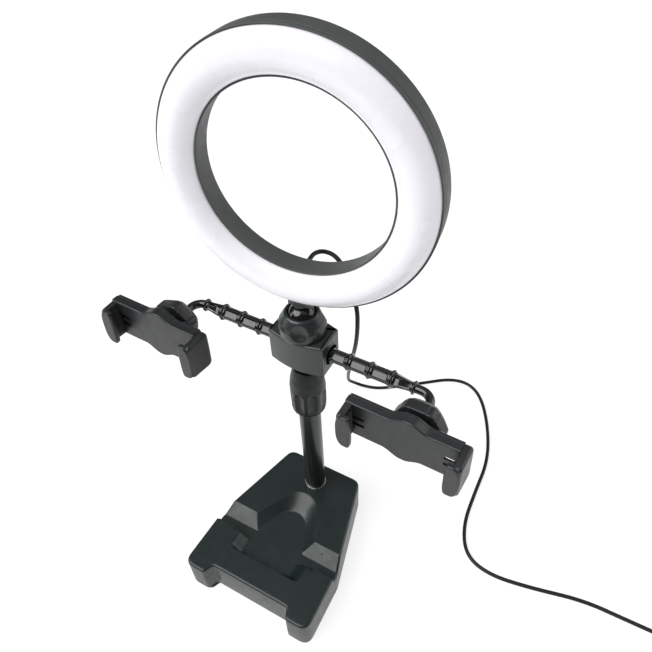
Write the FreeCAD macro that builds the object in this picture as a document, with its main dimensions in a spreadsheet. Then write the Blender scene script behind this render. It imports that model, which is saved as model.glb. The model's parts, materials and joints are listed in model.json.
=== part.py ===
import FreeCAD, Part
import Sketcher
import math
import os
from types import SimpleNamespace

# Desk ring light: a weighted base with a telescopic mast, a cross block with two ribbed arms that
# carry spring phone clamps, and a ball head that carries the ring lamp with its cord.
# Millimetres. +Z is up, the mast axis is the Z axis, the floor is z = 0 and the lamp faces -Y.

Vector = FreeCAD.Vector
Rotation = FreeCAD.Rotation
Placement = FreeCAD.Placement

DIMENSIONS = {
    # base, seen from above: wide notched front at -Y, narrow rear at +Y
    "mat_thick": 1.5,
    "base_top": 32.0,
    "base_front": 107.8,
    "base_notch": 100.0,
    "base_rear": 16.2,
    "front_half": 54.0,
    "bend_half": 52.6,
    "bend_back": 60.0,
    "rear_half": 32.8,
    "foot_inner": 36.0,
    "notch_half": 32.5,
    "cover_wall": 2.6,
    "cover_roof": 21.5,
    "step_floor": 25.0,
    "plate_thick": 2.0,
    "weight_thick": 12.0,
    "base_screw": 1.45,
    # mast
    "mast_radius": 8.0,
    "mast_bore": 7.0,
    "mast_top": 154.0,
    "inner_radius": 6.0,
    "inner_bore": 5.0,
    "inner_foot": 45.0,
    "collar_foot": 136.5,
    "collar_top": 179.0,
    "collar_radius": 12.6,
    "foot_ring": 9.4,
    # cross block
    "block_foot": 188.0,
    "block_top": 215.0,
    "block_half": 19.6,
    "block_side": 10.0,
    "block_bulge": 13.4,
    "boss_radius": 12.0,
    "boss_top": 221.5,
    # arms
    "arm_height": 201.0,
    "arm_shank": 4.5,
    "arm_start": 8.0,
    "rib_first": 33.0,
    "rib_step": 14.7,
    "rib_radius": 5.5,
    "rod_radius": 4.5,
    "tip_radius": 3.3,
    "elbow_radius": 2.9,
    "elbow_bend": 8.4,
    "elbow_reach": 88.0,
    "ball_forward": 22.0,
    "arm_ball": 6.0,
    # phone clamps, measured from the centre of their ball
    "plate_front": 16.6,
    "plate_split": 11.1,
    "plate_back": 8.7,
    "jaw_gap": 33.2,
    "jaw_wall": 5.0,
    "jaw_reach": 27.8,
    "jaw_half": 13.2,
    "end_half": 14.5,
    "mid_half": 18.4,
    "lip_length": 4.4,
    "rod_pin": 1.5,
    "knob_radius": 17.6,
    "clamp_thread": 8.2,
    "ball_shift": 2.2,
    "knob_front": 4.0,
    "knob_back": 6.5,
    # ball head
    "head_height": 227.0,
    "head_ball": 9.35,
    "seat_outer": 11.0,
    "nut_radius": 15.3,
    "nut_foot": 215.6,
    # ring lamp, measured from the centre of the head ball
    "ring_centre": 94.6,
    "ring_front": 4.9,
    "ring_outer": 80.0,
    "ring_inner": 55.9,
    "ring_depth": 15.3,
    "ring_wall": 2.0,
    "ring_back": 4.5,
    "dome_inner": 56.7,
    "dome_outer": 79.3,
    "dome_rise": 7.0,
    "dome_skin": 1.6,
    "ring_turn": 6.6,
    "ring_tilt": 3.2,
    # cord
    "cord_radius": 1.5,
    "coil_radius": 16.5,
    "coil_half_width": 3.15,
    "coil_tall": 9.5,
}


class Size:
    """A length together with the spreadsheet expression that gives it."""

    def __init__(self, value, text):
        self.value = value
        self.text = text

    def __add__(self, other):
        other = size(other)
        return Size(self.value + other.value, f"({self.text} + {other.text})")

    def __sub__(self, other):
        other = size(other)
        return Size(self.value - other.value, f"({self.text} - {other.text})")

    def __mul__(self, other):
        other = size(other)
        return Size(self.value * other.value, f"({self.text} * {other.text})")

    def __truediv__(self, other):
        other = size(other)
        return Size(self.value / other.value, f"({self.text} / {other.text})")

    def __neg__(self):
        return Size(-self.value, f"(0 - {self.text})")

    def __radd__(self, other):
        return size(other) + self

    def __rsub__(self, other):
        return size(other) - self

    def __rmul__(self, other):
        return size(other) * self


def size(number):
    """A plain number as a Size; a Size stays what it is."""
    if isinstance(number, Size):
        return number
    return Size(float(number), f"({float(number):.6f})")


def plain(number):
    return number.value if isinstance(number, Size) else float(number)


doc = FreeCAD.newDocument("ring_light")
sheet = doc.addObject("Spreadsheet::Sheet", "sizes")
for row, (alias, value) in enumerate(DIMENSIONS.items(), start=1):
    sheet.set(f"A{row}", alias)
    sheet.set(f"B{row}", str(value))
    sheet.setAlias(f"B{row}", alias)
doc.recompute()
dim = SimpleNamespace(**{name: Size(value, f"sizes.{name}") for name, value in DIMENSIONS.items()})

pieces = []


def keep(obj, label, where=None):
    """Names a finished sub-part and puts it in its place."""
    obj.Label = label
    if where is not None:
        obj.Placement = where
    pieces.append(obj)
    return obj


def bind(obj, prop, number):
    number = size(number)
    setattr(obj, prop, number.value)
    obj.setExpression(prop, number.text)


def bind_base(obj, at):
    """Ties an object's position to the sheet, one coordinate at a time."""
    for axis, number in zip("xyz", at):
        obj.setExpression(f"Placement.Base.{axis}", size(number).text)


# ---- Part primitives and booleans ----

ALONG = {
    "x": Rotation(Vector(0, 1, 0), 90),
    "y": Rotation(Vector(1, 0, 0), -90),
    "z": Rotation(),
}


def point(at):
    return Vector(*[plain(number) for number in at])


def primitive(kind, at, along="z", turn=None, **lengths):
    obj = doc.addObject(kind, "solid")
    for prop, number in lengths.items():
        bind(obj, prop, number)
    obj.Placement = Placement(point(at), turn if turn is not None else ALONG[along])
    bind_base(obj, at)
    return obj


def cylinder(radius, height, at=(0, 0, 0), along="z", turn=None):
    return primitive("Part::Cylinder", at, along, turn, Radius=radius, Height=height)


def cone(radius1, radius2, height, at=(0, 0, 0), along="z", turn=None):
    return primitive("Part::Cone", at, along, turn, Radius1=radius1, Radius2=radius2, Height=height)


def sphere(radius, at=(0, 0, 0)):
    return primitive("Part::Sphere", at, Radius=radius)


def box(long, wide, tall, at, turn=None):
    return primitive("Part::Box", at, turn=turn, Length=long, Width=wide, Height=tall)


def cut(base, *tools):
    result = doc.addObject("Part::Cut", "cut")
    result.Base = base
    result.Tool = tools[0] if len(tools) == 1 else fuse(*tools)
    return result


def fuse(*shapes):
    result = doc.addObject("Part::MultiFuse", "fuse")
    result.Shapes = list(shapes)
    return result


def common(*shapes):
    result = doc.addObject("Part::MultiCommon", "common")
    result.Shapes = list(shapes)
    return result


def group(*shapes):
    result = doc.addObject("Part::Compound", "group")
    result.Links = list(shapes)
    return result


def tube(outer, inner, height, at=(0, 0, 0), along="z"):
    return cut(cylinder(outer, height, at, along), cylinder(inner, height, at, along))


# ---- PartDesign bodies ----


def body(name):
    return doc.addObject("PartDesign::Body", name)


def plane_of(owner, role):
    for feature in owner.Origin.OriginFeatures:
        if feature.Role == role:
            return feature
    raise ValueError(role)


def sketch_on(owner, role, offset=0):
    sketch = owner.newObject("Sketcher::SketchObject", "outline")
    sketch.AttachmentSupport = (plane_of(owner, role), [""])
    sketch.MapMode = "FlatFace"
    offset = size(offset)
    sketch.AttachmentOffset = Placement(Vector(0, 0, offset.value), Rotation())
    sketch.setExpression("AttachmentOffset.Base.z", offset.text)
    return sketch


def pin_point(sketch, geometry, end, corner):
    """Holds one end of a line or arc at a corner given by two sizes."""
    for kind, number in zip(("DistanceX", "DistanceY"), corner):
        number = size(number)
        index = sketch.addConstraint(Sketcher.Constraint(kind, geometry, end, number.value))
        sketch.setExpression(f"Constraints[{index}]", number.text)


def draw_loop(sketch, corners, arcs=None):
    """A closed loop through the corners. arcs maps the number of a corner to the middle point
    and the radius of the arc that leaves it; every other side is straight."""
    arcs = arcs or {}
    count = len(corners)
    places = [Vector(plain(corner[0]), plain(corner[1]), 0) for corner in corners]
    first = sketch.GeometryCount
    ends = []
    for number in range(count):
        start, stop = places[number], places[(number + 1) % count]
        if number in arcs:
            middle = Vector(plain(arcs[number][0][0]), plain(arcs[number][0][1]), 0)
            leftward = (middle - start).cross(stop - middle).z > 0
            if leftward:
                curve = Part.Arc(start, middle, stop)
            else:
                curve = Part.Arc(stop, middle, start)
            sketch.addGeometry(curve, False)
            ends.append((1, 2) if leftward else (2, 1))
        else:
            sketch.addGeometry(Part.LineSegment(start, stop), False)
            ends.append((1, 2))
    for number in range(count):
        following = (number + 1) % count
        sketch.addConstraint(Sketcher.Constraint(
            "Coincident", first + number, ends[number][1], first + following, ends[following][0]))
    for number, corner in enumerate(corners):
        pin_point(sketch, first + number, ends[number][0], corner)
    for number, (middle, radius) in arcs.items():
        radius = size(radius)
        index = sketch.addConstraint(Sketcher.Constraint("Radius", first + number, radius.value))
        sketch.setExpression(f"Constraints[{index}]", radius.text)


def draw_circle(sketch, radius, centre=(0, 0)):
    radius = size(radius)
    middle = Vector(plain(centre[0]), plain(centre[1]), 0)
    geometry = sketch.addGeometry(Part.Circle(middle, Vector(0, 0, 1), radius.value), False)
    index = sketch.addConstraint(Sketcher.Constraint("Radius", geometry, radius.value))
    sketch.setExpression(f"Constraints[{index}]", radius.text)
    pin_point(sketch, geometry, 3, centre)


def feature(owner, kind, sketch, **values):
    made = owner.newObject(kind, kind.split("::")[1])
    made.Profile = sketch
    for prop, value in values.items():
        if isinstance(value, Size):
            bind(made, prop, value)
        else:
            setattr(made, prop, value)
    sketch.Visibility = False
    return made


def turned(name, profile, arcs=None):
    """A body of revolution about its own Z axis from a profile of (radius, height) corners."""
    owner = body(name)
    sketch = sketch_on(owner, "XZ_Plane")
    draw_loop(sketch, profile, arcs)
    feature(owner, "PartDesign::Revolution", sketch, ReferenceAxis=(sketch, ["V_Axis"]), Angle=360)
    return owner


def mirrored(corners):
    """Corners of a right-hand side, followed by their mirror images back to the start."""
    return corners + [(-size(corner[0]), corner[1]) for corner in reversed(corners)]


def edges_where(shape, test):
    return [f"Edge{number}" for number, edge in enumerate(shape.Edges, start=1) if test(edge)]


def is_upright(edge):
    bounds = edge.BoundBox
    return bounds.XLength < 1e-4 and bounds.YLength < 1e-4 and bounds.ZLength > 1


def lies_at(height):
    def test(edge):
        bounds = edge.BoundBox
        return abs(bounds.ZMin - height) < 1e-4 and abs(bounds.ZMax - height) < 1e-4
    return test


def dress(owner, kind, edges, amount):
    """A fillet or chamfer on named edges of the body's latest feature."""
    base = owner.Tip
    made = owner.newObject(kind, kind.split("::")[1])
    made.Base = (base, edges)
    bind(made, "Radius" if kind.endswith("Fillet") else "Size", amount)
    doc.recompute()
    return made


# ---- base ----


def base_outline(inset):
    inset = size(inset)
    half = [
        (dim.foot_inner - inset, -dim.base_front + inset),
        (dim.front_half - inset, -dim.base_front + inset),
        (dim.bend_half - inset, -dim.bend_back),
        (dim.rear_half - inset, dim.base_rear - inset),
    ]
    notch = [(dim.notch_half - inset, -dim.base_notch + inset)]
    return mirrored(notch + half)


def is_outer_corner(edge):
    middle = edge.BoundBox.Center
    at_foot = middle.y < -90 and abs(middle.x) > 45
    return is_upright(edge) and (at_foot or middle.y > 5)


def is_notch_corner(edge):
    middle = edge.BoundBox.Center
    return is_upright(edge) and middle.y < -90 and abs(middle.x) < 45


def base_slab(name, inset, foot, height):
    owner = body(name)
    sketch = sketch_on(owner, "XY_Plane", foot)
    draw_loop(sketch, base_outline(inset))
    feature(owner, "PartDesign::Pad", sketch, Length=size(height))
    doc.recompute()
    for radius, test in ((8.0, is_outer_corner), (3.6, is_notch_corner)):
        dress(owner, "PartDesign::Fillet", edges_where(owner.Tip.Shape, test), radius)
    return owner


def make_base_cover():
    owner = base_slab("base_cover", 0, dim.mat_thick, dim.base_top - dim.mat_thick)
    top = DIMENSIONS["base_top"]
    dress(owner, "PartDesign::Chamfer", edges_where(owner.Tip.Shape, lies_at(top)), 1.3)
    cut_cross_groove(owner)
    cut_recess(owner)
    cut_scoop(owner)
    cut_cavity(owner)
    add_bosses(owner)
    cut_holes(owner)
    keep(owner, "base_cover")


def pocket_side(owner, corners, width):
    """A pocket cut across the base from a side profile of (y, z) corners."""
    sketch = sketch_on(owner, "YZ_Plane")
    draw_loop(sketch, corners)
    feature(owner, "PartDesign::Pocket", sketch, Midplane=True, Length=size(width))
    doc.recompute()


def cut_cross_groove(owner):
    above = dim.base_top + 1
    slope = 1.2
    pocket_side(owner, [(-65.8, above), (-64.8, dim.step_floor), (-57.5, dim.step_floor),
                        (-48.5 + slope, above)], 130)


def cut_recess(owner):
    """Sunk round-backed bay behind the groove, with sloping walls."""
    floor = sketch_on(owner, "XY_Plane", dim.step_floor)
    draw_loop(floor, [(20.5, -58), (12.0, -36.5), (-12.0, -36.5), (-20.5, -58)],
              {1: ((0, -29.5), 13.785714)})
    rim = sketch_on(owner, "XY_Plane", dim.base_top + 0.5)
    draw_loop(rim, [(33.2, -58), (13.2, -20.5), (-13.2, -20.5), (-33.2, -58)],
              {1: ((0, -13.2), 15.584384)})
    loft = owner.newObject("PartDesign::SubtractiveLoft", "bay")
    loft.Profile = floor
    loft.Sections = [rim]
    loft.Ruled = True
    doc.recompute()


def cut_scoop(owner):
    """Tray in the front lip, level with the groove, with sloping ends."""
    above = dim.base_top + 0.5
    floor = sketch_on(owner, "XY_Plane", dim.step_floor)
    draw_loop(floor, mirrored([(24.0, -80.4), (24.0, -62.0)]))
    rim = sketch_on(owner, "XY_Plane", above)
    draw_loop(rim, mirrored([(31.5, -81.2), (31.5, -62.0)]))
    loft = owner.newObject("PartDesign::SubtractiveLoft", "tray")
    loft.Profile = floor
    loft.Sections = [rim]
    loft.Ruled = True
    doc.recompute()


def cut_cavity(owner):
    sketch = sketch_on(owner, "XY_Plane", dim.mat_thick)
    inset = dim.cover_wall
    draw_loop(sketch, mirrored([
        (dim.notch_half - 6, -dim.base_notch + inset),
        (dim.bend_half - inset - 1.2, -dim.base_notch + inset),
        (dim.bend_half - inset, -dim.bend_back),
        (dim.rear_half - inset, dim.base_rear - inset - 3),
    ]))
    feature(owner, "PartDesign::Pocket", sketch, Reversed=True, Length=dim.cover_roof - dim.mat_thick)
    doc.recompute()


SCREW_SPOTS = [(41.0, -90.0), (-41.0, -90.0), (24.5, 7.0), (-24.5, 7.0)]


def add_bosses(owner):
    """Posts inside the cover that take the screws."""
    foot = dim.mat_thick + dim.plate_thick + 0.3
    posts = sketch_on(owner, "XY_Plane", foot)
    for spot in SCREW_SPOTS:
        draw_circle(posts, 3.8, spot)
    feature(owner, "PartDesign::Pad", posts, Length=dim.cover_roof + 1 - foot)
    doc.recompute()


def cut_holes(owner):
    mast_hole = sketch_on(owner, "XY_Plane", dim.mat_thick)
    draw_circle(mast_hole, dim.mast_radius + 0.1)
    feature(owner, "PartDesign::Pocket", mast_hole, Reversed=True, Length=size(dim.base_top))
    pilots = sketch_on(owner, "XY_Plane", dim.mat_thick)
    for spot in SCREW_SPOTS:
        draw_circle(pilots, dim.base_screw + 0.05, spot)
    feature(owner, "PartDesign::Pocket", pilots, Reversed=True, Length=size(27.5))
    doc.recompute()


def make_base_mat():
    owner = base_slab("base_mat", 1.2, 0, dim.mat_thick)
    keep(owner, "base_mat")


def inner_slab(name, corners, foot, height, holes):
    owner = body(name)
    sketch = sketch_on(owner, "XY_Plane", foot)
    draw_loop(sketch, mirrored(corners))
    feature(owner, "PartDesign::Pad", sketch, Length=size(height))
    for radius, spots, start, depth in holes:
        marks = sketch_on(owner, "XY_Plane", start)
        for spot in spots:
            draw_circle(marks, radius, spot)
        feature(owner, "PartDesign::Pocket", marks, Reversed=True, Length=size(depth))
    doc.recompute()
    return owner


def make_base_plate():
    inset = dim.cover_wall + 0.3
    foot = dim.mat_thick + 0.1
    corners = [
        (dim.bend_half - inset - 1.2, -dim.base_notch + inset),
        (dim.bend_half - inset, -dim.bend_back),
        (dim.rear_half - inset, dim.base_rear - inset - 3),
    ]
    holes = [(dim.base_screw + 0.1, SCREW_SPOTS, foot, 3), (3.1, SCREW_SPOTS, foot, 1.2)]
    keep(inner_slab("base_plate", corners, foot, dim.plate_thick, holes), "base_plate")


def make_base_weight():
    foot = dim.mat_thick + dim.plate_thick + 0.2
    corners = [(37.0, -83.0), (18.0, 9.5)]
    holes = [(3.2, [(0, 0)], foot, 20), (5.3, [(0, 0)], foot, 4.3)]
    keep(inner_slab("base_weight", corners, foot, dim.weight_thick, holes), "base_weight")


def make_base_screws():
    screws = []
    foot = dim.mat_thick + 0.15
    for x, y in SCREW_SPOTS:
        head = cylinder(2.8, 1.1, (x, y, foot))
        shank = cylinder(dim.base_screw, 25.0, (x, y, foot))
        screws.append(fuse(head, shank))
    keep(group(*screws), "base_screws")


# ---- mast ----


def make_mast():
    foot = dim.mat_thick + dim.plate_thick + dim.weight_thick + 0.3
    height = dim.mast_top - foot
    keep(tube(dim.mast_radius, dim.mast_bore, height, (0, 0, foot)), "mast_outer_tube")
    keep(tube(dim.foot_ring, dim.mast_radius + 0.05, 0.8, (0, 0, dim.base_top)), "mast_foot_ring")
    keep(tube(dim.mast_bore - 0.03, 3.05, 16, (0, 0, foot)), "mast_root_plug")
    bolt_foot = dim.mat_thick + dim.plate_thick + 0.3
    bolt = fuse(cylinder(5.0, 4.0, (0, 0, bolt_foot)), cylinder(3.0, 24.0, (0, 0, bolt_foot)))
    keep(bolt, "mast_root_bolt")
    keep(tube(dim.mast_bore - 0.02, dim.inner_radius + 0.05, 14, (0, 0, dim.mast_top - 14)), "mast_guide_bush")
    make_collet()
    make_collar()
    make_inner_tube()


def make_collet():
    """Split ring that the collar squeezes on the inner tube."""
    foot = dim.mast_top + 0.1
    ring = cut(cone(8.4, 7.4, 11.0, (0, 0, foot)), cylinder(dim.inner_radius + 0.05, 11.0, (0, 0, foot)))
    slits = []
    for number in range(3):
        turn = Rotation(Vector(0, 0, 1), 120 * number)
        slits.append(box(9.0, 0.8, 9.0, (0, 0, dim.mast_top + 3), turn))
    keep(cut(ring, *slits), "mast_collet")


def make_collar():
    foot, top, wide = dim.collar_foot, dim.collar_top, dim.collar_radius
    profile = [
        (dim.mast_radius + 0.15, foot),
        (11.2, foot), (11.9, foot + 1.0), (wide - 0.1, foot + 5),
        (wide, foot + 24), (wide - 1.0, foot + 31.5), (wide - 2.4, foot + 38), (8.9, top),
        (dim.inner_radius + 0.3, top), (dim.inner_radius + 0.3, top - 12),
        (8.8, top - 13.5), (8.8, top - 25.5), (dim.mast_radius + 0.15, top - 25.5),
    ]
    owner = turned("lock_collar", profile)
    doc.recompute()
    cut_flutes(owner)
    keep(owner, "lock_collar")


def cut_flutes(owner):
    """Eight shallow finger flutes on the lower half of the collar."""
    sketch = sketch_on(owner, "XY_Plane", dim.collar_foot - 1)
    draw_circle(sketch, 7.5, (dim.collar_radius + 6.3, 0))
    flute = feature(owner, "PartDesign::Pocket", sketch, Reversed=True, Length=size(24.5))
    pattern = owner.newObject("PartDesign::PolarPattern", "flutes")
    pattern.Originals = [flute]
    pattern.Axis = (sketch, ["N_Axis"])
    pattern.Angle = 360
    pattern.Occurrences = 8
    owner.Tip = pattern
    doc.recompute()


def make_inner_tube():
    foot = dim.inner_foot
    top = dim.block_foot + 8.3
    keep(tube(dim.inner_radius, dim.inner_bore, top - foot, (0, 0, foot)), "mast_inner_tube")
    keep(tube(dim.mast_bore - 0.05, dim.inner_radius + 0.05, 10, (0, 0, foot + 2)), "mast_slider_bush")
    flange = cylinder(dim.inner_radius + 0.7, 1.5, (0, 0, foot - 1.5))
    keep(fuse(flange, cylinder(dim.inner_bore - 0.02, 9, (0, 0, foot - 1.5))), "mast_end_plug")


# ---- cross block ----


def block_slab(name, foot, height):
    """Barrel-shaped slab: straight ends, bowed front and back."""
    owner = body(name)
    sketch = sketch_on(owner, "XY_Plane", foot)
    half, side, bulge = dim.block_half, dim.block_side, dim.block_bulge
    rise = bulge - side
    radius = (half * half + rise * rise) / (2 * rise)
    corners = [(half, -side), (half, side), (-half, side), (-half, -side)]
    draw_loop(sketch, corners, {1: ((0, bulge), radius), 3: ((0, -bulge), radius)})
    feature(owner, "PartDesign::Pad", sketch, Length=size(height))
    doc.recompute()
    dress(owner, "PartDesign::Fillet", edges_where(owner.Tip.Shape, is_upright), 2.2)
    return owner


def bore_body(owner, role, offset, radius, depth, centre=(0, 0), reverse=True):
    sketch = sketch_on(owner, role, offset)
    draw_circle(sketch, radius, centre)
    return feature(owner, "PartDesign::Pocket", sketch, Reversed=reverse, Length=size(depth))


BLOCK_SCREWS = [(13.0, 7.6), (-13.0, 7.6), (13.0, -7.6), (-13.0, -7.6)]


def make_block():
    lid = 2.0
    foot = dim.block_foot + lid
    owner = block_slab("block_blank", foot, dim.block_top - foot)
    dress(owner, "PartDesign::Chamfer", edges_where(owner.Tip.Shape, lies_at(DIMENSIONS["block_top"])), 0.9)
    boss = sketch_on(owner, "XY_Plane", dim.block_top - 1)
    draw_circle(boss, dim.boss_radius)
    feature(owner, "PartDesign::Pad", boss, Length=dim.boss_top - dim.block_top + 1)
    bore_body(owner, "XY_Plane", foot, dim.inner_radius + 0.02, dim.block_foot + 8.5 - foot)
    for spot in BLOCK_SCREWS:
        bore_body(owner, "XY_Plane", foot, 1.3, 8, spot)
    doc.recompute()
    cup = sphere(dim.seat_outer + 0.1, (0, 0, dim.head_height))
    right = arm_socket(1)
    left = arm_socket(-1)
    keep(cut(owner, cup, right, left), "block_body")
    make_block_lid(lid)


def arm_socket(side):
    """Bore for one arm's shank and the wide recess around its mouth."""
    start = dim.arm_start - 0.3
    bore = cylinder(dim.arm_shank + 0.05, 14, place_along(start, side, 14), "x")
    mouth = cylinder(6.5, 5, place_along(dim.block_half - 2.4, side, 5), "x")
    return fuse(bore, mouth)


def place_along(start, side, length):
    """Where a cylinder along X starts, so that it covers start..start+length on one side."""
    return (start if side > 0 else -start - length, 0, dim.arm_height)


def make_block_lid(lid):
    owner = block_slab("lid_blank", dim.block_foot, lid)
    bore_body(owner, "XY_Plane", dim.block_foot - 1, dim.inner_radius + 0.05, 4)
    for spot in BLOCK_SCREWS:
        bore_body(owner, "XY_Plane", dim.block_foot - 1, 1.35, 4, spot)
        bore_body(owner, "XY_Plane", dim.block_foot - 0.1, 2.4, 1.2, spot)
    doc.recompute()
    keep(owner, "block_lid")
    screws = []
    for x, y in BLOCK_SCREWS:
        head = cylinder(2.3, 1.0, (x, y, dim.block_foot + 0.05))
        screws.append(fuse(head, cylinder(1.25, 9.0, (x, y, dim.block_foot + 0.05))))
    keep(group(*screws), "block_screws")


# ---- arms ----


def arm_ribs(side):
    ribs = []
    for number in range(3):
        start = dim.rib_first + number * dim.rib_step - 0.8
        ribs.append(cylinder(dim.rib_radius, 1.6, place_along(start, side, 1.6), "x"))
    end = dim.rib_first + 3 * dim.rib_step - 0.8
    ribs.append(cylinder(4.4, 1.6, place_along(end, side, 1.6), "x"))
    return ribs


def arm_panels(side):
    """Sunk panels between the ribs, on the four diagonal sides of the rod."""
    panels = []
    for bay in range(4):
        start = dim.rib_first + (bay - 1) * dim.rib_step + 2.2
        if bay == 0:
            start = dim.block_half + 1.2
        length = dim.rib_step - 4.4 if bay else dim.rib_first - dim.block_half - 3.4
        for quarter in range(4):
            angle = math.radians(45 + 90 * quarter)
            turn = Rotation(Vector(1, 0, 0), 45 + 90 * quarter)
            depth = 3.35 if bay < 3 else 2.75
            corner = Vector(0, depth, -2.0)
            moved = turn.multVec(corner)
            x = start if side > 0 else -start - length
            at = (x, moved.y, dim.arm_height + moved.z)
            panels.append(box(length, 3.0, 4.0, at, turn))
    return panels


def make_arm(side, label):
    last = dim.rib_first + 2 * dim.rib_step
    end = dim.rib_first + 3 * dim.rib_step
    rod = cylinder(dim.rod_radius, last - dim.arm_start, place_along(dim.arm_start, side, last - dim.arm_start), "x")
    if side > 0:
        taper = cone(dim.rod_radius, dim.tip_radius, end - last, place_along(last, side, end - last), "x")
    else:
        taper = cone(dim.tip_radius, dim.rod_radius, end - last, place_along(last, side, end - last), "x")
    shaft = cut(fuse(rod, taper), *arm_panels(side))
    keep(fuse(shaft, *arm_ribs(side), make_elbow(side, end)), label)


def make_elbow(side, end):
    """Bent neck from the arm's end forward to the ball; the ball is part of it."""
    bend = plain(dim.elbow_bend)
    reach, height = plain(dim.elbow_reach) + side * plain(dim.ball_shift), plain(dim.arm_height)
    forward = plain(dim.ball_forward)
    start = Vector(side * plain(end), 0, height)
    corner_in = Vector(side * (reach - bend), 0, height)
    middle = Vector(side * (reach - bend + bend * math.sin(math.pi / 4)),
                    -bend + bend * math.cos(math.pi / 4), height)
    corner_out = Vector(side * reach, -bend, height)
    finish = Vector(side * reach, -forward, height)
    spine = Part.Wire([
        Part.LineSegment(start, corner_in).toShape(),
        Part.Arc(corner_in, middle, corner_out).toShape(),
        Part.LineSegment(corner_out, finish).toShape(),
    ])
    section = Part.Wire([Part.Circle(start, Vector(1, 0, 0), plain(dim.elbow_radius)).toShape()])
    neck = doc.addObject("Part::Feature", "neck")
    neck.Shape = spine.makePipeShell([section], True, False)
    ball = sphere(dim.arm_ball, (side * dim.elbow_reach + dim.ball_shift, -dim.ball_forward, dim.arm_height))
    return fuse(neck, ball)


# ---- phone clamps ----
# In each clamp X runs along the jaws and -Y faces the phone. The ball sits a little nearer the
# sliding jaw than the middle of the plate.


def clamp_place(side):
    """Where the centre of the clamp's ball lies."""
    across = side * plain(dim.elbow_reach) + plain(dim.ball_shift)
    centre = Vector(across, -plain(dim.ball_forward), plain(dim.arm_height))
    turn, tip, roll = (-2.0, -1.0, -1.5) if side > 0 else (-3.0, -4.0, -2.5)
    rotation = Rotation(Vector(0, 0, 1), turn)
    rotation = rotation.multiply(Rotation(Vector(1, 0, 0), tip))
    rotation = rotation.multiply(Rotation(Vector(0, 1, 0), roll))
    return Placement(centre, rotation)


def plate_outline(end):
    """Clamp plate seen from the front: level ends and a taller waved middle."""
    low, high = dim.end_half, dim.mid_half
    start = -dim.jaw_gap - dim.jaw_wall
    top = [(start, low), (-8.0, low - 0.3), (-2.0, high), (5.5, high), (11.5, low - 0.6), (end, low - 0.8)]
    bottom = [(end, -(low - 0.8)), (8.5, -(low - 0.6)), (2.5, -high), (-4.5, -high),
              (-10.5, -(low - 0.3)), (start, -low)]
    return top + bottom


def plate_layer(name, front, back, end):
    owner = body(name)
    sketch = sketch_on(owner, "XZ_Plane", front)
    draw_loop(sketch, plate_outline(end))
    feature(owner, "PartDesign::Pad", sketch, Reversed=True, Length=size(front) - back)
    doc.recompute()
    wave = edges_where(owner.Tip.Shape, is_wave_edge)
    dress(owner, "PartDesign::Fillet", wave, 7.0)
    return owner


def is_wave_edge(edge):
    bounds = edge.BoundBox
    across = bounds.XLength < 1e-4 and bounds.ZLength < 1e-4
    return across and bounds.YLength > 0.5 and abs(bounds.XMin) < 16


def far_jaw():
    """Fixed jaw and its turned-in lip at the -X end of the plate."""
    start = -dim.jaw_gap - dim.jaw_wall
    wall = box(dim.jaw_wall, dim.jaw_reach - dim.plate_split, 2 * dim.jaw_half,
               (start, -dim.jaw_reach, -dim.jaw_half))
    lip = box(dim.jaw_wall + dim.lip_length, 2.6, 2 * dim.jaw_half, (start, -dim.jaw_reach, -dim.jaw_half))
    return fuse(wall, lip)


def lip_corners(start, length):
    """Wedges that round the top and bottom front corners of a jaw."""
    wedges = []
    for sign in (1, -1):
        turn = Rotation(Vector(1, 0, 0), 40 * sign)
        shift = turn.multVec(Vector(0, -20.0, 0 if sign > 0 else -12.0))
        at = (start, shift.y - dim.jaw_reach + 2.2, shift.z + sign * dim.jaw_half)
        wedges.append(box(length, 20.0, 12.0, at, turn))
    return wedges


def clamp_screw_spots():
    return [(-22.0, 9.0), (-22.0, -9.0), (19.0, 11.4), (19.0, -11.4)]


def plate_slots():
    slots = []
    for x in (-31.0, 24.5):
        for z in (3.5, -5.1):
            slots.append(box(6.0, 1.2, 1.6, (x, -dim.plate_front - 0.1, z)))
    return slots


def make_clamp(side, prefix):
    ball_place = clamp_place(side)
    place = ball_place.multiply(Placement(Vector(-plain(dim.ball_shift), 0, 0), Rotation()))
    end = dim.jaw_gap - 0.3
    middle = (dim.plate_front + dim.plate_split) / 2
    plate = plate_layer(f"{prefix}_plate", dim.plate_front, dim.plate_split, end)
    start = -dim.jaw_gap - dim.jaw_wall
    bores = [
        cylinder(dim.rod_pin + 0.05, 45, (-6, -middle, 8), "x"),
        cylinder(dim.rod_pin + 0.05, 45, (-6, -middle, -8), "x"),
        cylinder(2.2, 45, (-6, -middle, 0), "x"),
    ]
    pilots = [cylinder(1.1, 4, (x, -dim.plate_split - 3.9, z), "y") for x, z in clamp_screw_spots()]
    solid = fuse(plate, far_jaw())
    keep(cut(solid, *lip_corners(start - 1, 12), *bores, *pilots, *plate_slots()), f"{prefix}_body", place)
    make_clamp_back(prefix, place, end)
    make_clamp_jaw(prefix, place, middle)
    make_clamp_pads(prefix, place)
    make_clamp_socket(prefix, ball_place)
    make_knob(prefix, ball_place, 0 if side > 0 else 19)


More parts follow.
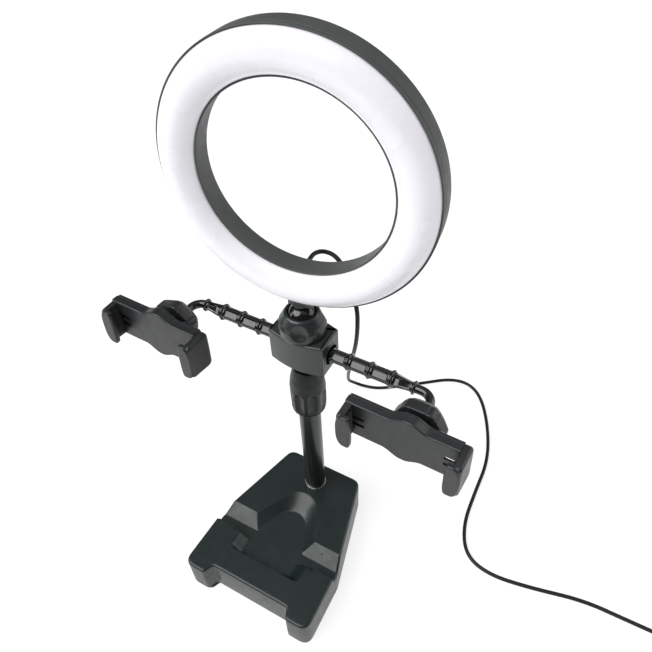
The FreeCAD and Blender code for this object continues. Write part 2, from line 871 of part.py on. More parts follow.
def make_clamp_back(prefix, place, end):
    plate = plate_layer(f"{prefix}_cover", dim.plate_split, dim.plate_back, end)
    pivot = cylinder(3.05, 3, (dim.ball_shift, -dim.plate_split - 0.2, 0), "y")
    holes = []
    screws = []
    for x, z in clamp_screw_spots():
        holes.append(cylinder(1.2, 4, (x, -dim.plate_split - 0.5, z), "y"))
        holes.append(cylinder(2.1, 2, (x, -dim.plate_back - 1.0, z), "y"))
        head = cylinder(2.0, 0.9, (x, -dim.plate_back - 0.95, z), "y")
        screws.append(fuse(head, cylinder(1.05, 5.0, (x, -dim.plate_back - 5.05, z), "y")))
    keep(cut(plate, pivot, *holes), f"{prefix}_back", place)
    keep(group(*screws), f"{prefix}_screws", place)


def make_clamp_jaw(prefix, place, middle):
    start = dim.jaw_gap
    half = dim.jaw_half
    wall = box(dim.jaw_wall, dim.jaw_reach - dim.plate_back, 2 * half, (start, -dim.jaw_reach, -half))
    lip = box(dim.jaw_wall + dim.lip_length, 2.6, 2 * half, (start - dim.lip_length, -dim.jaw_reach, -half))
    sockets = [cylinder(dim.rod_pin, 3.2, (start, -middle, z), "x") for z in (8, -8)]
    keep(cut(fuse(wall, lip), *lip_corners(start - 7, 14), *sockets), f"{prefix}_jaw", place)
    rods = [cylinder(dim.rod_pin, 36, (start - 33, -middle, z), "x") for z in (8, -8)]
    keep(group(*rods), f"{prefix}_rods", place)
    keep(tube(2.0, 1.4, 34, (-4, -middle, 0), "x"), f"{prefix}_spring", place)


def make_clamp_pads(prefix, place):
    """Soft grooved pads on the inner faces of both jaws."""
    deep = dim.jaw_reach - dim.plate_front - 2.6 - 0.8
    back = -dim.plate_front - deep - 0.4
    for x, groove_x, label in ((-dim.jaw_gap, -dim.jaw_gap + 0.7, "far"), (dim.jaw_gap - 1.0, dim.jaw_gap - 1.3, "near")):
        pad = box(1.0, deep, 20.0, (x, back, -10.0))
        grooves = [box(0.6, deep + 2, 1.2, (groove_x, back - 1, z)) for z in (-6.6, -2.6, 1.4, 5.4)]
        keep(cut(pad, *grooves), f"{prefix}_pad_{label}", place)


def make_clamp_socket(prefix, place):
    """Cup round the ball, the friction seat inside it and the knob screwed on its outside."""
    ball, seat = dim.arm_ball, dim.arm_ball + 1.4
    front = dim.plate_back - 0.3
    shell = cylinder(dim.clamp_thread, front + 2.4, (0, -front, 0), "y")
    spigot = cylinder(3.0, 2.4, (0, -dim.plate_split + 0.3, 0), "y")
    lip_room = sphere(ball + 0.06)
    deep_room = common(sphere(seat + 0.1), box(20, 20, 20, (-10, -19.9, -10)))
    keep(cut(fuse(shell, spigot), lip_room, deep_room), f"{prefix}_socket", place)
    cap = common(cut(sphere(seat), sphere(ball + 0.08)), box(20, 20, 20, (-10, -24.2, -10)))
    keep(cap, f"{prefix}_seat", place)


def make_knob(prefix, place, turned_by):
    """Chunky six-sided knob with softened corners and a sloping back."""
    owner = body(f"{prefix}_knob_body")
    sketch = sketch_on(owner, "XZ_Plane", dim.knob_front)
    corners = []
    for number in range(6):
        angle = math.radians(60 * number + turned_by)
        corners.append((dim.knob_radius * math.cos(angle), dim.knob_radius * math.sin(angle)))
    draw_loop(sketch, corners)
    feature(owner, "PartDesign::Pad", sketch, Reversed=True, Length=dim.knob_front + dim.knob_back)
    doc.recompute()
    dress(owner, "PartDesign::Fillet", edges_where(owner.Tip.Shape, runs_along_y), 4.0)
    back = edges_where(owner.Tip.Shape, lies_behind(DIMENSIONS["knob_back"]))
    dress(owner, "PartDesign::Chamfer", back, 3.2)
    bore = cylinder(dim.clamp_thread + 0.1, 30, (0, -15, 0), "y")
    mouth = cone(dim.clamp_thread - 0.4, dim.clamp_thread + 1.4, 4.0, (0, dim.knob_back - 3.5, 0), "y")
    keep(cut(owner, bore, mouth), f"{prefix}_knob", place)


def runs_along_y(edge):
    bounds = edge.BoundBox
    return bounds.XLength < 1e-4 and bounds.ZLength < 1e-4 and bounds.YLength > 1


def lies_behind(back):
    def test(edge):
        bounds = edge.BoundBox
        return abs(bounds.YMin - back) < 1e-4 and abs(bounds.YMax - back) < 1e-4
    return test


# ---- ball head ----


def ring_place():
    """The lamp turns and tips about the centre of the head ball."""
    rotation = Rotation(Vector(0, 0, 1), plain(dim.ring_turn))
    rotation = rotation.multiply(Rotation(Vector(1, 0, 0), -plain(dim.ring_tilt)))
    return Placement(Vector(0, 0, plain(dim.head_height)), rotation)


def make_head():
    centre = (0, 0, dim.head_height)
    shell = cut(sphere(dim.seat_outer, centre), sphere(dim.head_ball + 0.1, centre))
    below = box(40, 40, 40, (-20, -20, dim.head_height - 4.9 - 40))
    keep(common(shell, below), "head_seat")
    bore = cylinder(3.05, 20, (0, 0, -2))
    keep(cut(sphere(dim.head_ball), bore), "head_ball", ring_place())
    make_head_nut()


def make_head_nut():
    """Mushroom nut with three finger scallops; its lip holds the ball down."""
    level = dim.head_height
    profile = [
        (dim.boss_radius + 0.1, dim.nut_foot), (dim.nut_radius, dim.nut_foot),
        (dim.nut_radius, level - 4.6), (dim.nut_radius - 1.0, level - 1.6), (10.6, level + 4.2),
        (8.8, level + 4.4), (6.0, level + 0.3), (dim.seat_outer + 0.15, level + 0.3),
        (dim.seat_outer + 0.15, level - 4.4), (dim.boss_radius + 0.1, level - 5.2),
    ]
    owner = turned("nut_blank", profile)
    doc.recompute()
    scallops = []
    for number in range(3):
        angle = math.radians(-68 + 120 * number)
        distance = 21.2
        at = (distance * math.cos(angle), distance * math.sin(angle), level - 0.5)
        scallops.append(sphere(9.2, at))
    room = sphere(dim.head_ball + 0.06, (0, 0, level))
    keep(cut(owner, room, *scallops), "head_nut")


# ---- ring lamp ----
# Round pieces are turned about an axis that points out of the lamp's face.


def face_axis():
    local = Placement(Vector(0, -plain(dim.ring_front), plain(dim.ring_centre)), Rotation(Vector(1, 0, 0), 90))
    return ring_place().multiply(local)


def back_edge(inside):
    """Picks the inner or the outer edge of the lamp's back."""
    level = lies_at(-DIMENSIONS["ring_depth"])
    middle = (DIMENSIONS["ring_outer"] + DIMENSIONS["ring_inner"]) / 2

    def test(edge):
        return level(edge) and (edge.Curve.Radius < middle) == inside
    return test


def make_ring_housing():
    outer, inner, depth, wall = dim.ring_outer, dim.ring_inner, dim.ring_depth, dim.ring_wall
    floor = dim.ring_back - depth
    profile = [
        (inner, 0), (inner + 1.2, -depth), (outer - 0.4, -depth), (outer, 0),
        (outer - wall, 0), (outer - wall - 0.3, floor), (inner + 1.2 + wall, floor), (inner + wall, 0),
    ]
    owner = turned("ring_housing", profile)
    doc.recompute()
    for radius, inside in ((1.6, False), (2.0, True)):
        back = edges_where(owner.Tip.Shape, back_edge(inside))
        dress(owner, "PartDesign::Fillet", back, radius)
    exit_hole = sketch_on(owner, "XY_Plane", -dim.ring_depth - 1)
    draw_circle(exit_hole, 2.45, (GLAND_X, -dim.ring_centre + GLAND_Z))
    feature(owner, "PartDesign::Pocket", exit_hole, Reversed=True, Length=size(8))
    doc.recompute()
    keep(owner, "ring_housing", face_axis())


def make_diffuser():
    """Milky dome over the lamps, with a short skirt inside the housing."""
    low, high, rise, skin = dim.dome_inner, dim.dome_outer, dim.dome_rise, dim.dome_skin
    half = (high - low) / 2
    middle = (high + low) / 2
    radius = (half * half + rise * rise) / (2 * rise)
    skirt = dim.ring_wall + 1.4
    inner_half = half - skirt - 0.3
    inner_rise = rise - skin
    inner_radius = (inner_half * inner_half + inner_rise * inner_rise) / (2 * inner_rise)
    profile = [
        (low, 0.1), (high, 0.1), (high - dim.ring_wall + 0.55, 0.1), (high - dim.ring_wall + 0.55, -3.0),
        (high - skirt - 0.3, -3.0), (high - skirt - 0.3, 0.1), (low + skirt + 0.3, 0.1),
        (low + skirt + 0.3, -3.0), (low + dim.ring_wall - 0.55, -3.0), (low + dim.ring_wall - 0.55, 0.1),
    ]
    dome = turned("dome", [profile[0], profile[1], profile[5], profile[6]],
                  {0: ((middle, rise + 0.1), radius), 2: ((middle, inner_rise + 0.1), inner_radius)})
    outer_skirt = tube(high - 1.5, high - skirt - 0.3, 3.4, (0, 0, -3.0))
    inner_skirt = tube(low + skirt + 0.3, low + 1.5, 3.4, (0, 0, -3.0))
    keep(fuse(dome, outer_skirt, inner_skirt), "ring_diffuser", face_axis())


LAMP_COUNT = 60


def make_lamps():
    back = dim.ring_back - dim.ring_depth + 0.05
    keep(tube(76.5, 60.0, 1.2, (0, 0, back)), "ring_lamp_board", face_axis())
    lamps = []
    for number in range(LAMP_COUNT):
        angle = math.radians(360 * number / LAMP_COUNT)
        radius = 65.0 if number % 2 else 71.5
        turn = Rotation(Vector(0, 0, 1), 360 * number / LAMP_COUNT)
        corner = turn.multVec(Vector(radius - 1.4, -1.75, 0))
        lamps.append(box(2.8, 3.5, 1.0, (corner.x, corner.y, back + 1.2), turn))
    keep(group(*lamps), "ring_lamps", face_axis())


def make_ring_mount():
    """Saddle under the lamp with the stem that turns in the head ball."""
    saddle = box(15.0, 10.5, 7.0, (-7.5, -2.9, 10.2))
    rim = cylinder(dim.ring_outer + 0.02, 40, (0, -20, dim.ring_centre), "y")
    stem = cylinder(3.0, 14.0, (0, 0, -1.5))
    shoulder = cone(3.9, 5.6, 1.6, (0, 0, 8.95))
    keep(fuse(cut(saddle, rim), stem, shoulder), "ring_stem", ring_place())


GLAND_X = -7.0
GLAND_Z = 20.5


def make_gland():
    """Tapered strain relief on the back of the lamp."""
    back = dim.ring_depth - dim.ring_front
    flange = cylinder(3.6, 1.4, (GLAND_X, back, GLAND_Z), "y")
    neck = cylinder(2.4, 3.0, (GLAND_X, back - 2.2, GLAND_Z), "y")
    taper = cone(2.9, 2.0, 8.0, (GLAND_X, back + 1.0, GLAND_Z), "y")
    keep(fuse(flange, neck, taper), "cord_gland", ring_place())


# ---- cord ----

CORD_ROUTE = [
    (-9.3, 19.7, 246.4), (-10.4, 29.0, 245.9), (-9.8, 37.2, 246.8), (-4.0, 43.0, 248.4),
    (4.2, 43.6, 247.2), (12.0, 39.0, 242.0), (18.6, 32.2, 233.0), (23.0, 30.0, 217.0),
    (23.6, 29.0, 197.0), (20.0, 33.0, 176.0), (12.0, 43.5, 149.0), (0.0, 62.0, 112.0),
    (-13.5, 84.0, 72.0), (-24.5, 104.0, 40.0), (-30.0, 114.5, 22.0), (-31.8, 120.2, 11.8),
    (-29.4, 125.4, 4.9), (-21.6, 128.0, 1.6), (-7.0, 131.5, 1.6), (10.0, 143.5, 1.6),
    (31.0, 159.5, 1.6), (51.0, 175.5, 1.6), (70.0, 179.0, 1.6), (87.0, 167.5, 1.6),
    (104.0, 138.0, 1.6), (116.0, 104.0, 1.6), (117.0, 68.0, 1.6), (119.0, 36.5, 1.6),
    (130.0, 12.5, 1.6), (152.0, 6.0, 1.6), (184.0, 11.5, 1.6), (221.0, 21.0, 1.6),
    (252.0, 21.8, 1.6), (276.0, 22.0, 2.6), (292.0, 22.0, 4.4),
]


def rounded_path(points, label):
    """Straight runs joined by tangent arcs; the radii are printed."""
    corners = [Vector(*place) for place in points]
    edges = []
    radii = []
    cursor = corners[0]
    for before, here, after in zip(corners, corners[1:], corners[2:]):
        incoming = here - before
        outgoing = after - here
        turn = incoming.getAngle(outgoing)
        reach = 0.45 * min(incoming.Length, outgoing.Length)
        radius = reach / math.tan(turn / 2)
        radii.append(round(radius, 1))
        way_in = Vector(incoming).normalize()
        way_out = Vector(outgoing).normalize()
        start = here - way_in * reach
        stop = here + way_out * reach
        inward = (way_out - way_in).normalize()
        middle = here + inward * (radius / math.cos(turn / 2) - radius)
        edges.append(Part.LineSegment(cursor, start).toShape())
        edges.append(Part.Arc(start, middle, stop).toShape())
        cursor = stop
    edges.append(Part.LineSegment(cursor, corners[-1]).toShape())
    print(label, "arc radii", radii, "smallest", min(radii))
    return Part.Wire(edges)


def make_cord():
    path = rounded_path(CORD_ROUTE, "cord_tube")
    start = Vector(*CORD_ROUTE[0])
    heading = Vector(*CORD_ROUTE[1]) - start
    radius = plain(dim.cord_radius)
    section = Part.Wire([Part.Circle(start, heading, radius).toShape()])
    tube_piece = doc.addObject("Part::Feature", "cord")
    tube_piece.Shape = path.makePipeShell([section], True, False)
    expected = math.pi * radius ** 2 * path.Length
    print("cord_tube length", round(path.Length, 1), "volume ratio", round(tube_piece.Shape.Volume / expected, 4))
    keep(tube_piece, "cord_tube")
    make_controller()
    make_coil()
    make_plug()


CONTROL_X = 292.0
CONTROL_Y = 22.0
CONTROL_LONG = 48.0
CONTROL_HALF = 8.0


def make_controller():
    """In-line switch box with three sprung buttons, lying on the floor."""
    low = CONTROL_Y - CONTROL_HALF
    lower = box(CONTROL_LONG, 2 * CONTROL_HALF, 4.4, (CONTROL_X, low, 0))
    upper = box(CONTROL_LONG, 2 * CONTROL_HALF, 4.4, (CONTROL_X, low, 4.5))
    lower_room = box(CONTROL_LONG - 4, 2 * CONTROL_HALF - 4, 3.4, (CONTROL_X + 2, low + 2, 1.5))
    upper_room = box(CONTROL_LONG - 4, 2 * CONTROL_HALF - 4, 3.0, (CONTROL_X + 2, low + 2, 4.4))
    keep(cut(lower, lower_room), "controller_lower")
    holes = []
    for number, label in enumerate(("power", "brighter", "dimmer")):
        x = CONTROL_X + 11 + 13 * number
        holes.append(cylinder(3.3, 6, (x, CONTROL_Y, 5)))
        cap = cylinder(3.1, 4.0, (x, CONTROL_Y, 6.2))
        flange = cylinder(3.9, 0.8, (x, CONTROL_Y, 5.6))
        keep(fuse(cap, flange), f"controller_{label}")
    keep(cut(upper, upper_room, *holes), "controller_upper")


COIL_X = 364.0
COIL_Y = 40.0
TAIL_Y = 58.0
TAIL_LONG = 28.0


def make_coil():
    """The wound hank as one closed ring, with the short leads that enter and leave it."""
    outer = dim.coil_radius + dim.coil_half_width
    inner = dim.coil_radius - dim.coil_half_width
    start = CONTROL_X + CONTROL_LONG
    ring = tube(outer, inner, dim.coil_tall, (COIL_X, COIL_Y, 0))
    lead = cylinder(dim.cord_radius, COIL_X - start, (start, CONTROL_Y, 4.4), "x")
    tail = cylinder(dim.cord_radius, TAIL_LONG, (COIL_X - TAIL_LONG, TAIL_Y, 4.2), "x")
    keep(fuse(ring, lead, tail), "cord_coil")


def make_plug():
    """USB plug on the end of the cord, beside the coil."""
    relief_x = COIL_X - TAIL_LONG
    grip_x = relief_x - 9.0 - 22.0
    relief = cone(1.9, 3.0, 9.0, (relief_x, TAIL_Y, 4.2), turn=Rotation(Vector(0, 1, 0), -90))
    grip = box(22.0, 15.6, 8.2, (grip_x, TAIL_Y - 7.8, 0))
    keep(fuse(grip, relief), "plug_grip")
    shell = box(14.0, 12.0, 4.5, (grip_x - 14.0, TAIL_Y - 6.0, 1.85))
    mouth = box(12.0, 11.2, 1.9, (grip_x - 14.1, TAIL_Y - 5.6, 4.15))
    keep(cut(shell, mouth), "plug_shell")


# ---- whole model ----


def check_and_write():
    doc.recompute()
    for obj in doc.Objects:
        bad = [state for state in obj.State if state in ("Invalid", "Error")]
        if bad:
            raise RuntimeError(f"{obj.Name} ({obj.Label}) is {bad}")
    os.makedirs("parts", exist_ok=True)
    for piece in pieces:
        shape = piece.Shape
        if shape.isNull() or not shape.isValid():
            raise RuntimeError(f"{piece.Label} has no valid shape")
        shape.exportStep(f"parts/{piece.Label}.step")
        bounds = shape.BoundBox
        print(f"{piece.Label:24s} {len(shape.Solids):3d} {shape.Volume:10.1f}",
              [round(number, 1) for number in (bounds.XMin, bounds.XMax, bounds.YMin, bounds.YMax,
                                               bounds.ZMin, bounds.ZMax)])
    print(len(pieces), "pieces")


make_base_cover()
make_base_mat()
make_base_plate()
make_base_weight()
make_base_screws()
make_mast()
make_block()
make_arm(1, "arm_right")
make_arm(-1, "arm_left")
make_clamp(1, "clamp_right")
make_clamp(-1, "clamp_left")
make_head()
make_ring_housing()
make_diffuser()
make_lamps()
make_ring_mount()
make_gland()
make_cord()
check_and_write()
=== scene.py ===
import json
import math

import bmesh
import bpy
from mathutils import Matrix, Vector
from mathutils.geometry import delaunay_2d_cdt


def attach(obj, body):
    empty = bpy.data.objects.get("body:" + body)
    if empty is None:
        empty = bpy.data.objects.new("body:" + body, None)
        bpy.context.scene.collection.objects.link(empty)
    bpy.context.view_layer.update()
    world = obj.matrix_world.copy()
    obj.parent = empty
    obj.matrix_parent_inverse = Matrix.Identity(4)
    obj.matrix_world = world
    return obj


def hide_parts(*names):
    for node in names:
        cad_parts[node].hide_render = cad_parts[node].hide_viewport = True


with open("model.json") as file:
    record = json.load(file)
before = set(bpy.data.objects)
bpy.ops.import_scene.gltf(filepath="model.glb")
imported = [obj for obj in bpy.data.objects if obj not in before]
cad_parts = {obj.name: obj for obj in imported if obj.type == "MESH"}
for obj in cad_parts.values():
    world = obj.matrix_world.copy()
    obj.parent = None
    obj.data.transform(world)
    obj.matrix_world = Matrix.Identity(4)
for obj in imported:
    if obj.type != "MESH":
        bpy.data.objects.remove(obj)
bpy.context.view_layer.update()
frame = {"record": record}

# Looks of the desk ring light: metres, +Z up, the mast's axis on the Z axis, the lamp faces -Y.

# Tables of sizes are in millimetres and MM turns them into metres.

MM = 0.001

ARM_LEVEL = 201
HEAD_LEVEL = 227.0


# ---- camera ----

# Place and turn come from a fit of a plain pinhole camera to the photo's outlines.
CAMERA_AT = Vector((0.16039, -0.23753, 0.51847))
CAMERA_RIGHT = Vector((0.87263, 0.48733, -0.03210))
CAMERA_UP = Vector((-0.33473, 0.64464, 0.68731))
CAMERA_BACK = Vector((0.35564, -0.58902, 0.72566))
CAMERA_LENS = 36.667


def put(name, data):
    """A new object in the scene."""
    obj = bpy.data.objects.new(name, data)
    bpy.context.collection.objects.link(obj)
    return obj


def make_camera():
    data = bpy.data.cameras.new("camera")
    data.lens = CAMERA_LENS
    data.sensor_width = 36
    data.clip_start = 0.01
    data.clip_end = 50
    camera = put("camera", data)
    turn = Matrix((CAMERA_RIGHT, CAMERA_UP, CAMERA_BACK)).transposed()
    camera.matrix_world = Matrix.Translation(CAMERA_AT) @ turn.to_4x4()
    bpy.context.scene.camera = camera


# ---- materials ----


class Nodes:
    """Short way to build a shader tree."""

    def __init__(self, name):
        self.material = bpy.data.materials.new(name)
        self.material.use_nodes = True
        self.tree = self.material.node_tree
        self.shader = self.tree.nodes["Principled BSDF"]
        self.place = self.add("ShaderNodeTexCoord").outputs["Object"]

    def add(self, kind, **values):
        node = self.tree.nodes.new(kind)
        for key, value in values.items():
            setattr(node, key, value)
        return node

    def link(self, source, target):
        self.tree.links.new(source, target)

    def feed(self, slot, source):
        self.link(source, self.shader.inputs[slot])

    def set(self, **values):
        for key, value in values.items():
            self.shader.inputs[key.replace("_", " ")].default_value = value

    def noise(self, scale, detail=3.0, stretch=None):
        node = self.add("ShaderNodeTexNoise")
        node.inputs["Scale"].default_value = scale
        node.inputs["Detail"].default_value = detail
        source = self.place
        if stretch is not None:
            mapping = self.add("ShaderNodeMapping")
            mapping.inputs["Scale"].default_value = stretch
            self.link(source, mapping.inputs["Vector"])
            source = mapping.outputs["Vector"]
        self.link(source, node.inputs["Vector"])
        return node.outputs["Fac"]

    def span(self, source, low, high, start=0.3, stop=0.7):
        """Maps a factor between start and stop onto low..high."""
        node = self.add("ShaderNodeMapRange")
        node.inputs["From Min"].default_value = start
        node.inputs["From Max"].default_value = stop
        node.inputs["To Min"].default_value = low
        node.inputs["To Max"].default_value = high
        self.link(source, node.inputs["Value"])
        return node.outputs["Result"]

    def tint(self, source, dark, light):
        node = self.add("ShaderNodeMix", data_type="RGBA")
        node.inputs["A"].default_value = (*dark, 1)
        node.inputs["B"].default_value = (*light, 1)
        self.link(source, node.inputs["Factor"])
        return node.outputs["Result"]

    def bump(self, source, strength, distance, below=None):
        node = self.add("ShaderNodeBump")
        node.inputs["Strength"].default_value = strength
        node.inputs["Distance"].default_value = distance
        self.link(source, node.inputs["Height"])
        if below is not None:
            self.link(below, node.inputs["Normal"])
        return node.outputs["Normal"]


def shade(colour, amount):
    return tuple(min(1.0, channel * amount) for channel in colour)


def moulded(name, colour, rough=0.45, grain=0.25, grain_size=0.5, spread=0.12, specular=0.5):
    """Moulded plastic: a fine spark-eroded grain, slow tone changes and faint handling marks."""
    n = Nodes(name)
    slow = n.noise(35, 4)
    fine = n.noise(1 / (grain_size * MM), 2)
    rubbed = n.noise(180, 5)
    n.feed("Base Color", n.tint(n.span(slow, 0, 1), shade(colour, 1 - spread), shade(colour, 1 + spread)))
    n.feed("Roughness", n.span(rubbed, rough - 0.05, rough + 0.06))
    soft = n.bump(slow, 0.15, 0.2 * MM)
    n.feed("Normal", n.bump(fine, grain, 0.04 * MM, soft))
    n.set(Specular_IOR_Level=specular)
    return n.material


def glossy(name, colour):
    """Polished moulding with slight flow waves and hairline scuffs."""
    n = Nodes(name)
    wave = n.noise(60, 2)
    scuff = n.noise(300, 6, (1, 1, 7))
    n.feed("Base Color", n.tint(wave, shade(colour, 0.85), shade(colour, 1.2)))
    n.feed("Roughness", n.span(scuff, 0.12, 0.26, 0.45, 0.75))
    n.feed("Normal", n.bump(wave, 0.12, 0.15 * MM))
    n.set(Coat_Weight=0.3, Coat_Roughness=0.08)
    return n.material


def enamel(name, colour):
    """Baked enamel on a drawn tube: orange-peel and faint lengthwise drawing lines."""
    n = Nodes(name)
    peel = n.noise(900, 2)
    lines = n.noise(500, 3, (1, 1, 0.03))
    n.feed("Base Color", n.tint(lines, shade(colour, 0.8), shade(colour, 1.3)))
    n.feed("Roughness", n.span(lines, 0.24, 0.36))
    n.feed("Normal", n.bump(peel, 0.12, 0.05 * MM))
    n.set(Coat_Weight=0.1, Coat_Roughness=0.15, Specular_IOR_Level=0.4)
    return n.material


def metal(name, colour):
    """Machined steel with turning marks and dull patches."""
    n = Nodes(name)
    marks = n.noise(700, 4, (1, 1, 12))
    patches = n.noise(90, 4)
    n.feed("Base Color", n.tint(patches, shade(colour, 0.75), shade(colour, 1.1)))
    n.feed("Roughness", n.span(marks, 0.22, 0.42))
    n.feed("Normal", n.bump(marks, 0.1, 0.03 * MM))
    n.set(Metallic=1.0)
    return n.material


def rubber(name, colour, rough=0.6, sheen=0.1):
    """Soft moulded rubber or PVC with a dusty bloom."""
    n = Nodes(name)
    bloom = n.noise(120, 5)
    skin = n.noise(1800, 2)
    n.feed("Base Color", n.tint(n.span(bloom, 0, 1), shade(colour, 0.8), shade(colour, 1.35)))
    n.feed("Roughness", n.span(bloom, rough - 0.08, rough + 0.08))
    n.feed("Normal", n.bump(skin, 0.2, 0.04 * MM))
    n.set(Sheen_Weight=sheen, Sheen_Roughness=0.5, Specular_IOR_Level=0.35)
    return n.material


def opal(name):
    """Milky acrylic cover: light scatters a little under a smooth, softly waved surface; a faint painted glow
    brightens it, standing in for light, not for a lit lamp.
    """
    n = Nodes(name)
    cloud = n.noise(22, 3)
    wave = n.noise(40, 2)
    n.feed("Base Color", n.tint(n.span(cloud, 0, 1), (0.80, 0.785, 0.845), (0.845, 0.83, 0.885)))
    n.feed("Roughness", n.span(wave, 0.22, 0.3))
    n.feed("Normal", n.bump(wave, 0.08, 0.1 * MM))
    # The emission is painted light: a faint glow that brightens the cover, not the lamp shining.
    n.set(Subsurface_Weight=0.25, Subsurface_Scale=0.004, Coat_Weight=0.2, Coat_Roughness=0.12,
          Emission_Color=(1.0, 0.98, 1.0, 1), Emission_Strength=0.09)
    n.shader.inputs["Subsurface Radius"].default_value = (1.0, 0.95, 1.0)
    return n.material


def phosphor(name):
    """Lamp chip: yellow phosphor inside a pale frame."""
    n = Nodes(name)
    spots = n.noise(900, 3)
    n.feed("Base Color", n.tint(spots, (0.85, 0.62, 0.12), (0.95, 0.80, 0.30)))
    n.feed("Roughness", n.span(spots, 0.3, 0.5))
    return n.material


def lacquered_board(name):
    """White solder lacquer with a faint weave of the glass cloth below."""
    n = Nodes(name)
    weave = n.add("ShaderNodeTexWave")
    weave.inputs["Scale"].default_value = 600
    n.link(n.place, weave.inputs["Vector"])
    n.feed("Base Color", n.tint(n.noise(50), (0.74, 0.76, 0.74), (0.84, 0.85, 0.82)))
    n.feed("Normal", n.bump(weave.outputs["Fac"], 0.15, 0.03 * MM))
    n.set(Roughness=0.35)
    return n.material


BASE_TONE = (0.008, 0.015, 0.014)
CLAMP_TONE = (0.014, 0.0155, 0.017)
RING_TONE = (0.064, 0.072, 0.070)
BLACK_TONE = (0.005, 0.005, 0.006)

MATERIALS = {
    "cover": moulded("base_plastic", BASE_TONE, 0.34, 0.32, 0.4, specular=0.45),
    "mat": rubber("mat_rubber", (0.03, 0.03, 0.03), 0.8),
    "steel": metal("bright_steel", (0.62, 0.61, 0.60)),
    "mast": enamel("mast_enamel", (0.006, 0.008, 0.008)),
    "bush": moulded("natural_nylon", (0.62, 0.60, 0.54), 0.5, 0.15, 0.6, 0.05),
    "collar": moulded("collar_plastic", (0.004, 0.006, 0.006), 0.4, 0.25, 0.5, specular=0.3),
    "nut": moulded("nut_plastic", (0.016, 0.021, 0.021), 0.3, 0.2, 0.4),
    "block": moulded("block_plastic", (0.023, 0.029, 0.029), 0.34, 0.22, 0.4),
    "gloss": glossy("gloss_black", BLACK_TONE),
    "clamp": moulded("clamp_plastic", CLAMP_TONE, 0.38, 0.28, 0.4),
    "pad": rubber("pad_rubber", (0.008, 0.008, 0.009), 0.7),
    "ring": moulded("ring_plastic", RING_TONE, 0.5, 0.3, 0.45, specular=0.35),
    "diffuser": opal("opal_cover"),
    "board": lacquered_board("lamp_board"),
    "lamp": phosphor("lamp_phosphor"),
    "cord": rubber("cord_jacket", (0.003, 0.003, 0.003), 0.5, 0.02),
    "button": moulded("button_plastic", (0.42, 0.43, 0.44), 0.45, 0.2, 0.4, 0.04),
}
SLOT_OF = {row["node"]: row["material_slot"] for row in frame["record"]["subparts"]}


def dress_cad_nodes():
    for node, name in SLOT_OF.items():
        holder = bpy.data.objects[node]
        for part in holder.material_slots:
            part.material = MATERIALS[name]


# ---- making pieces ----


def body_name(node):
    for name, nodes in frame["record"]["behaviour"]["bodies"].items():
        if node in nodes:
            return name
    raise ValueError(node)


def add_piece(name, mesh, slot_name, body, nodes=(), material=None):
    obj = put(name, mesh)
    obj.data.materials.append(material or MATERIALS[slot_name])
    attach(obj, body)
    if nodes:
        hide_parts(*nodes)
    return obj


def bake_modifiers(obj):
    graph = bpy.context.evaluated_depsgraph_get()
    graph.update()
    mesh = bpy.data.meshes.new_from_object(obj.evaluated_get(graph))
    old = obj.data
    obj.modifiers.clear()
    obj.data = mesh
    bpy.data.meshes.remove(old)


def smooth(mesh, sharp=40):
    """Smooth shading, with an edge kept where faces meet at more than sharp degrees."""
    for face in mesh.polygons:
        face.use_smooth = True
    mesh.set_sharp_from_angle(angle=math.radians(sharp))
    return mesh


def to_mesh(bm, name):
    mesh = bpy.data.meshes.new(name)
    bm.to_mesh(mesh)
    bm.free()
    return mesh


def weld(mesh):
    """Joins a closed skin's first and last rows."""
    bm = bmesh.new()
    bm.from_mesh(mesh)
    bmesh.ops.remove_doubles(bm, verts=bm.verts, dist=1e-7)
    bmesh.ops.recalc_face_normals(bm, faces=bm.faces)
    bm.to_mesh(mesh)
    bm.free()
    return smooth(mesh)


def bevelled(mesh, width, segments):
    """Rounds a mesh's hard edges and shades it smooth."""
    obj = put("work", mesh)
    bevel = obj.modifiers.new("bevel", "BEVEL")
    bevel.width = width
    bevel.segments = segments
    bevel.limit_method = "ANGLE"
    bevel.angle_limit = math.radians(28)
    bevel.use_clamp_overlap = True
    bevel.miter_outer = "MITER_ARC"
    bake_modifiers(obj)
    mesh = obj.data
    bpy.data.objects.remove(obj)
    return smooth(mesh)


def cad_mesh(node):
    """A copy of a CAD node's surface with its flat areas merged into single faces."""
    source = bpy.data.objects[node]
    bm = bmesh.new()
    bm.from_mesh(source.data)
    bm.transform(source.matrix_world)
    bmesh.ops.remove_doubles(bm, verts=bm.verts, dist=1e-6)
    bmesh.ops.dissolve_limit(bm, angle_limit=math.radians(0.6), verts=bm.verts, edges=bm.edges)
    return to_mesh(bm, node)


def soften(node, width, segments):
    """Rebuilds a CAD node with rounded edges."""
    mesh = bevelled(cad_mesh(node), width, segments)
    return add_piece(f"{node}_shell", mesh, SLOT_OF[node], body_name(node), [node])


def grid_mesh(name, rows, place=None, caps=True):
    """A skin through rows of points, each row a closed loop."""
    bm = bmesh.new()
    rings = [[bm.verts.new(point) for point in row] for row in rows]
    count = len(rows[0])
    for lower, upper in zip(rings, rings[1:]):
        for i in range(count):
            j = (i + 1) % count
            bm.faces.new((lower[i], lower[j], upper[j], upper[i]))
    if caps:
        bm.faces.new(list(reversed(rings[0])))
        bm.faces.new(rings[-1])
    if place is not None:
        bm.transform(place)
    bmesh.ops.recalc_face_normals(bm, faces=bm.faces)
    return smooth(to_mesh(bm, name))


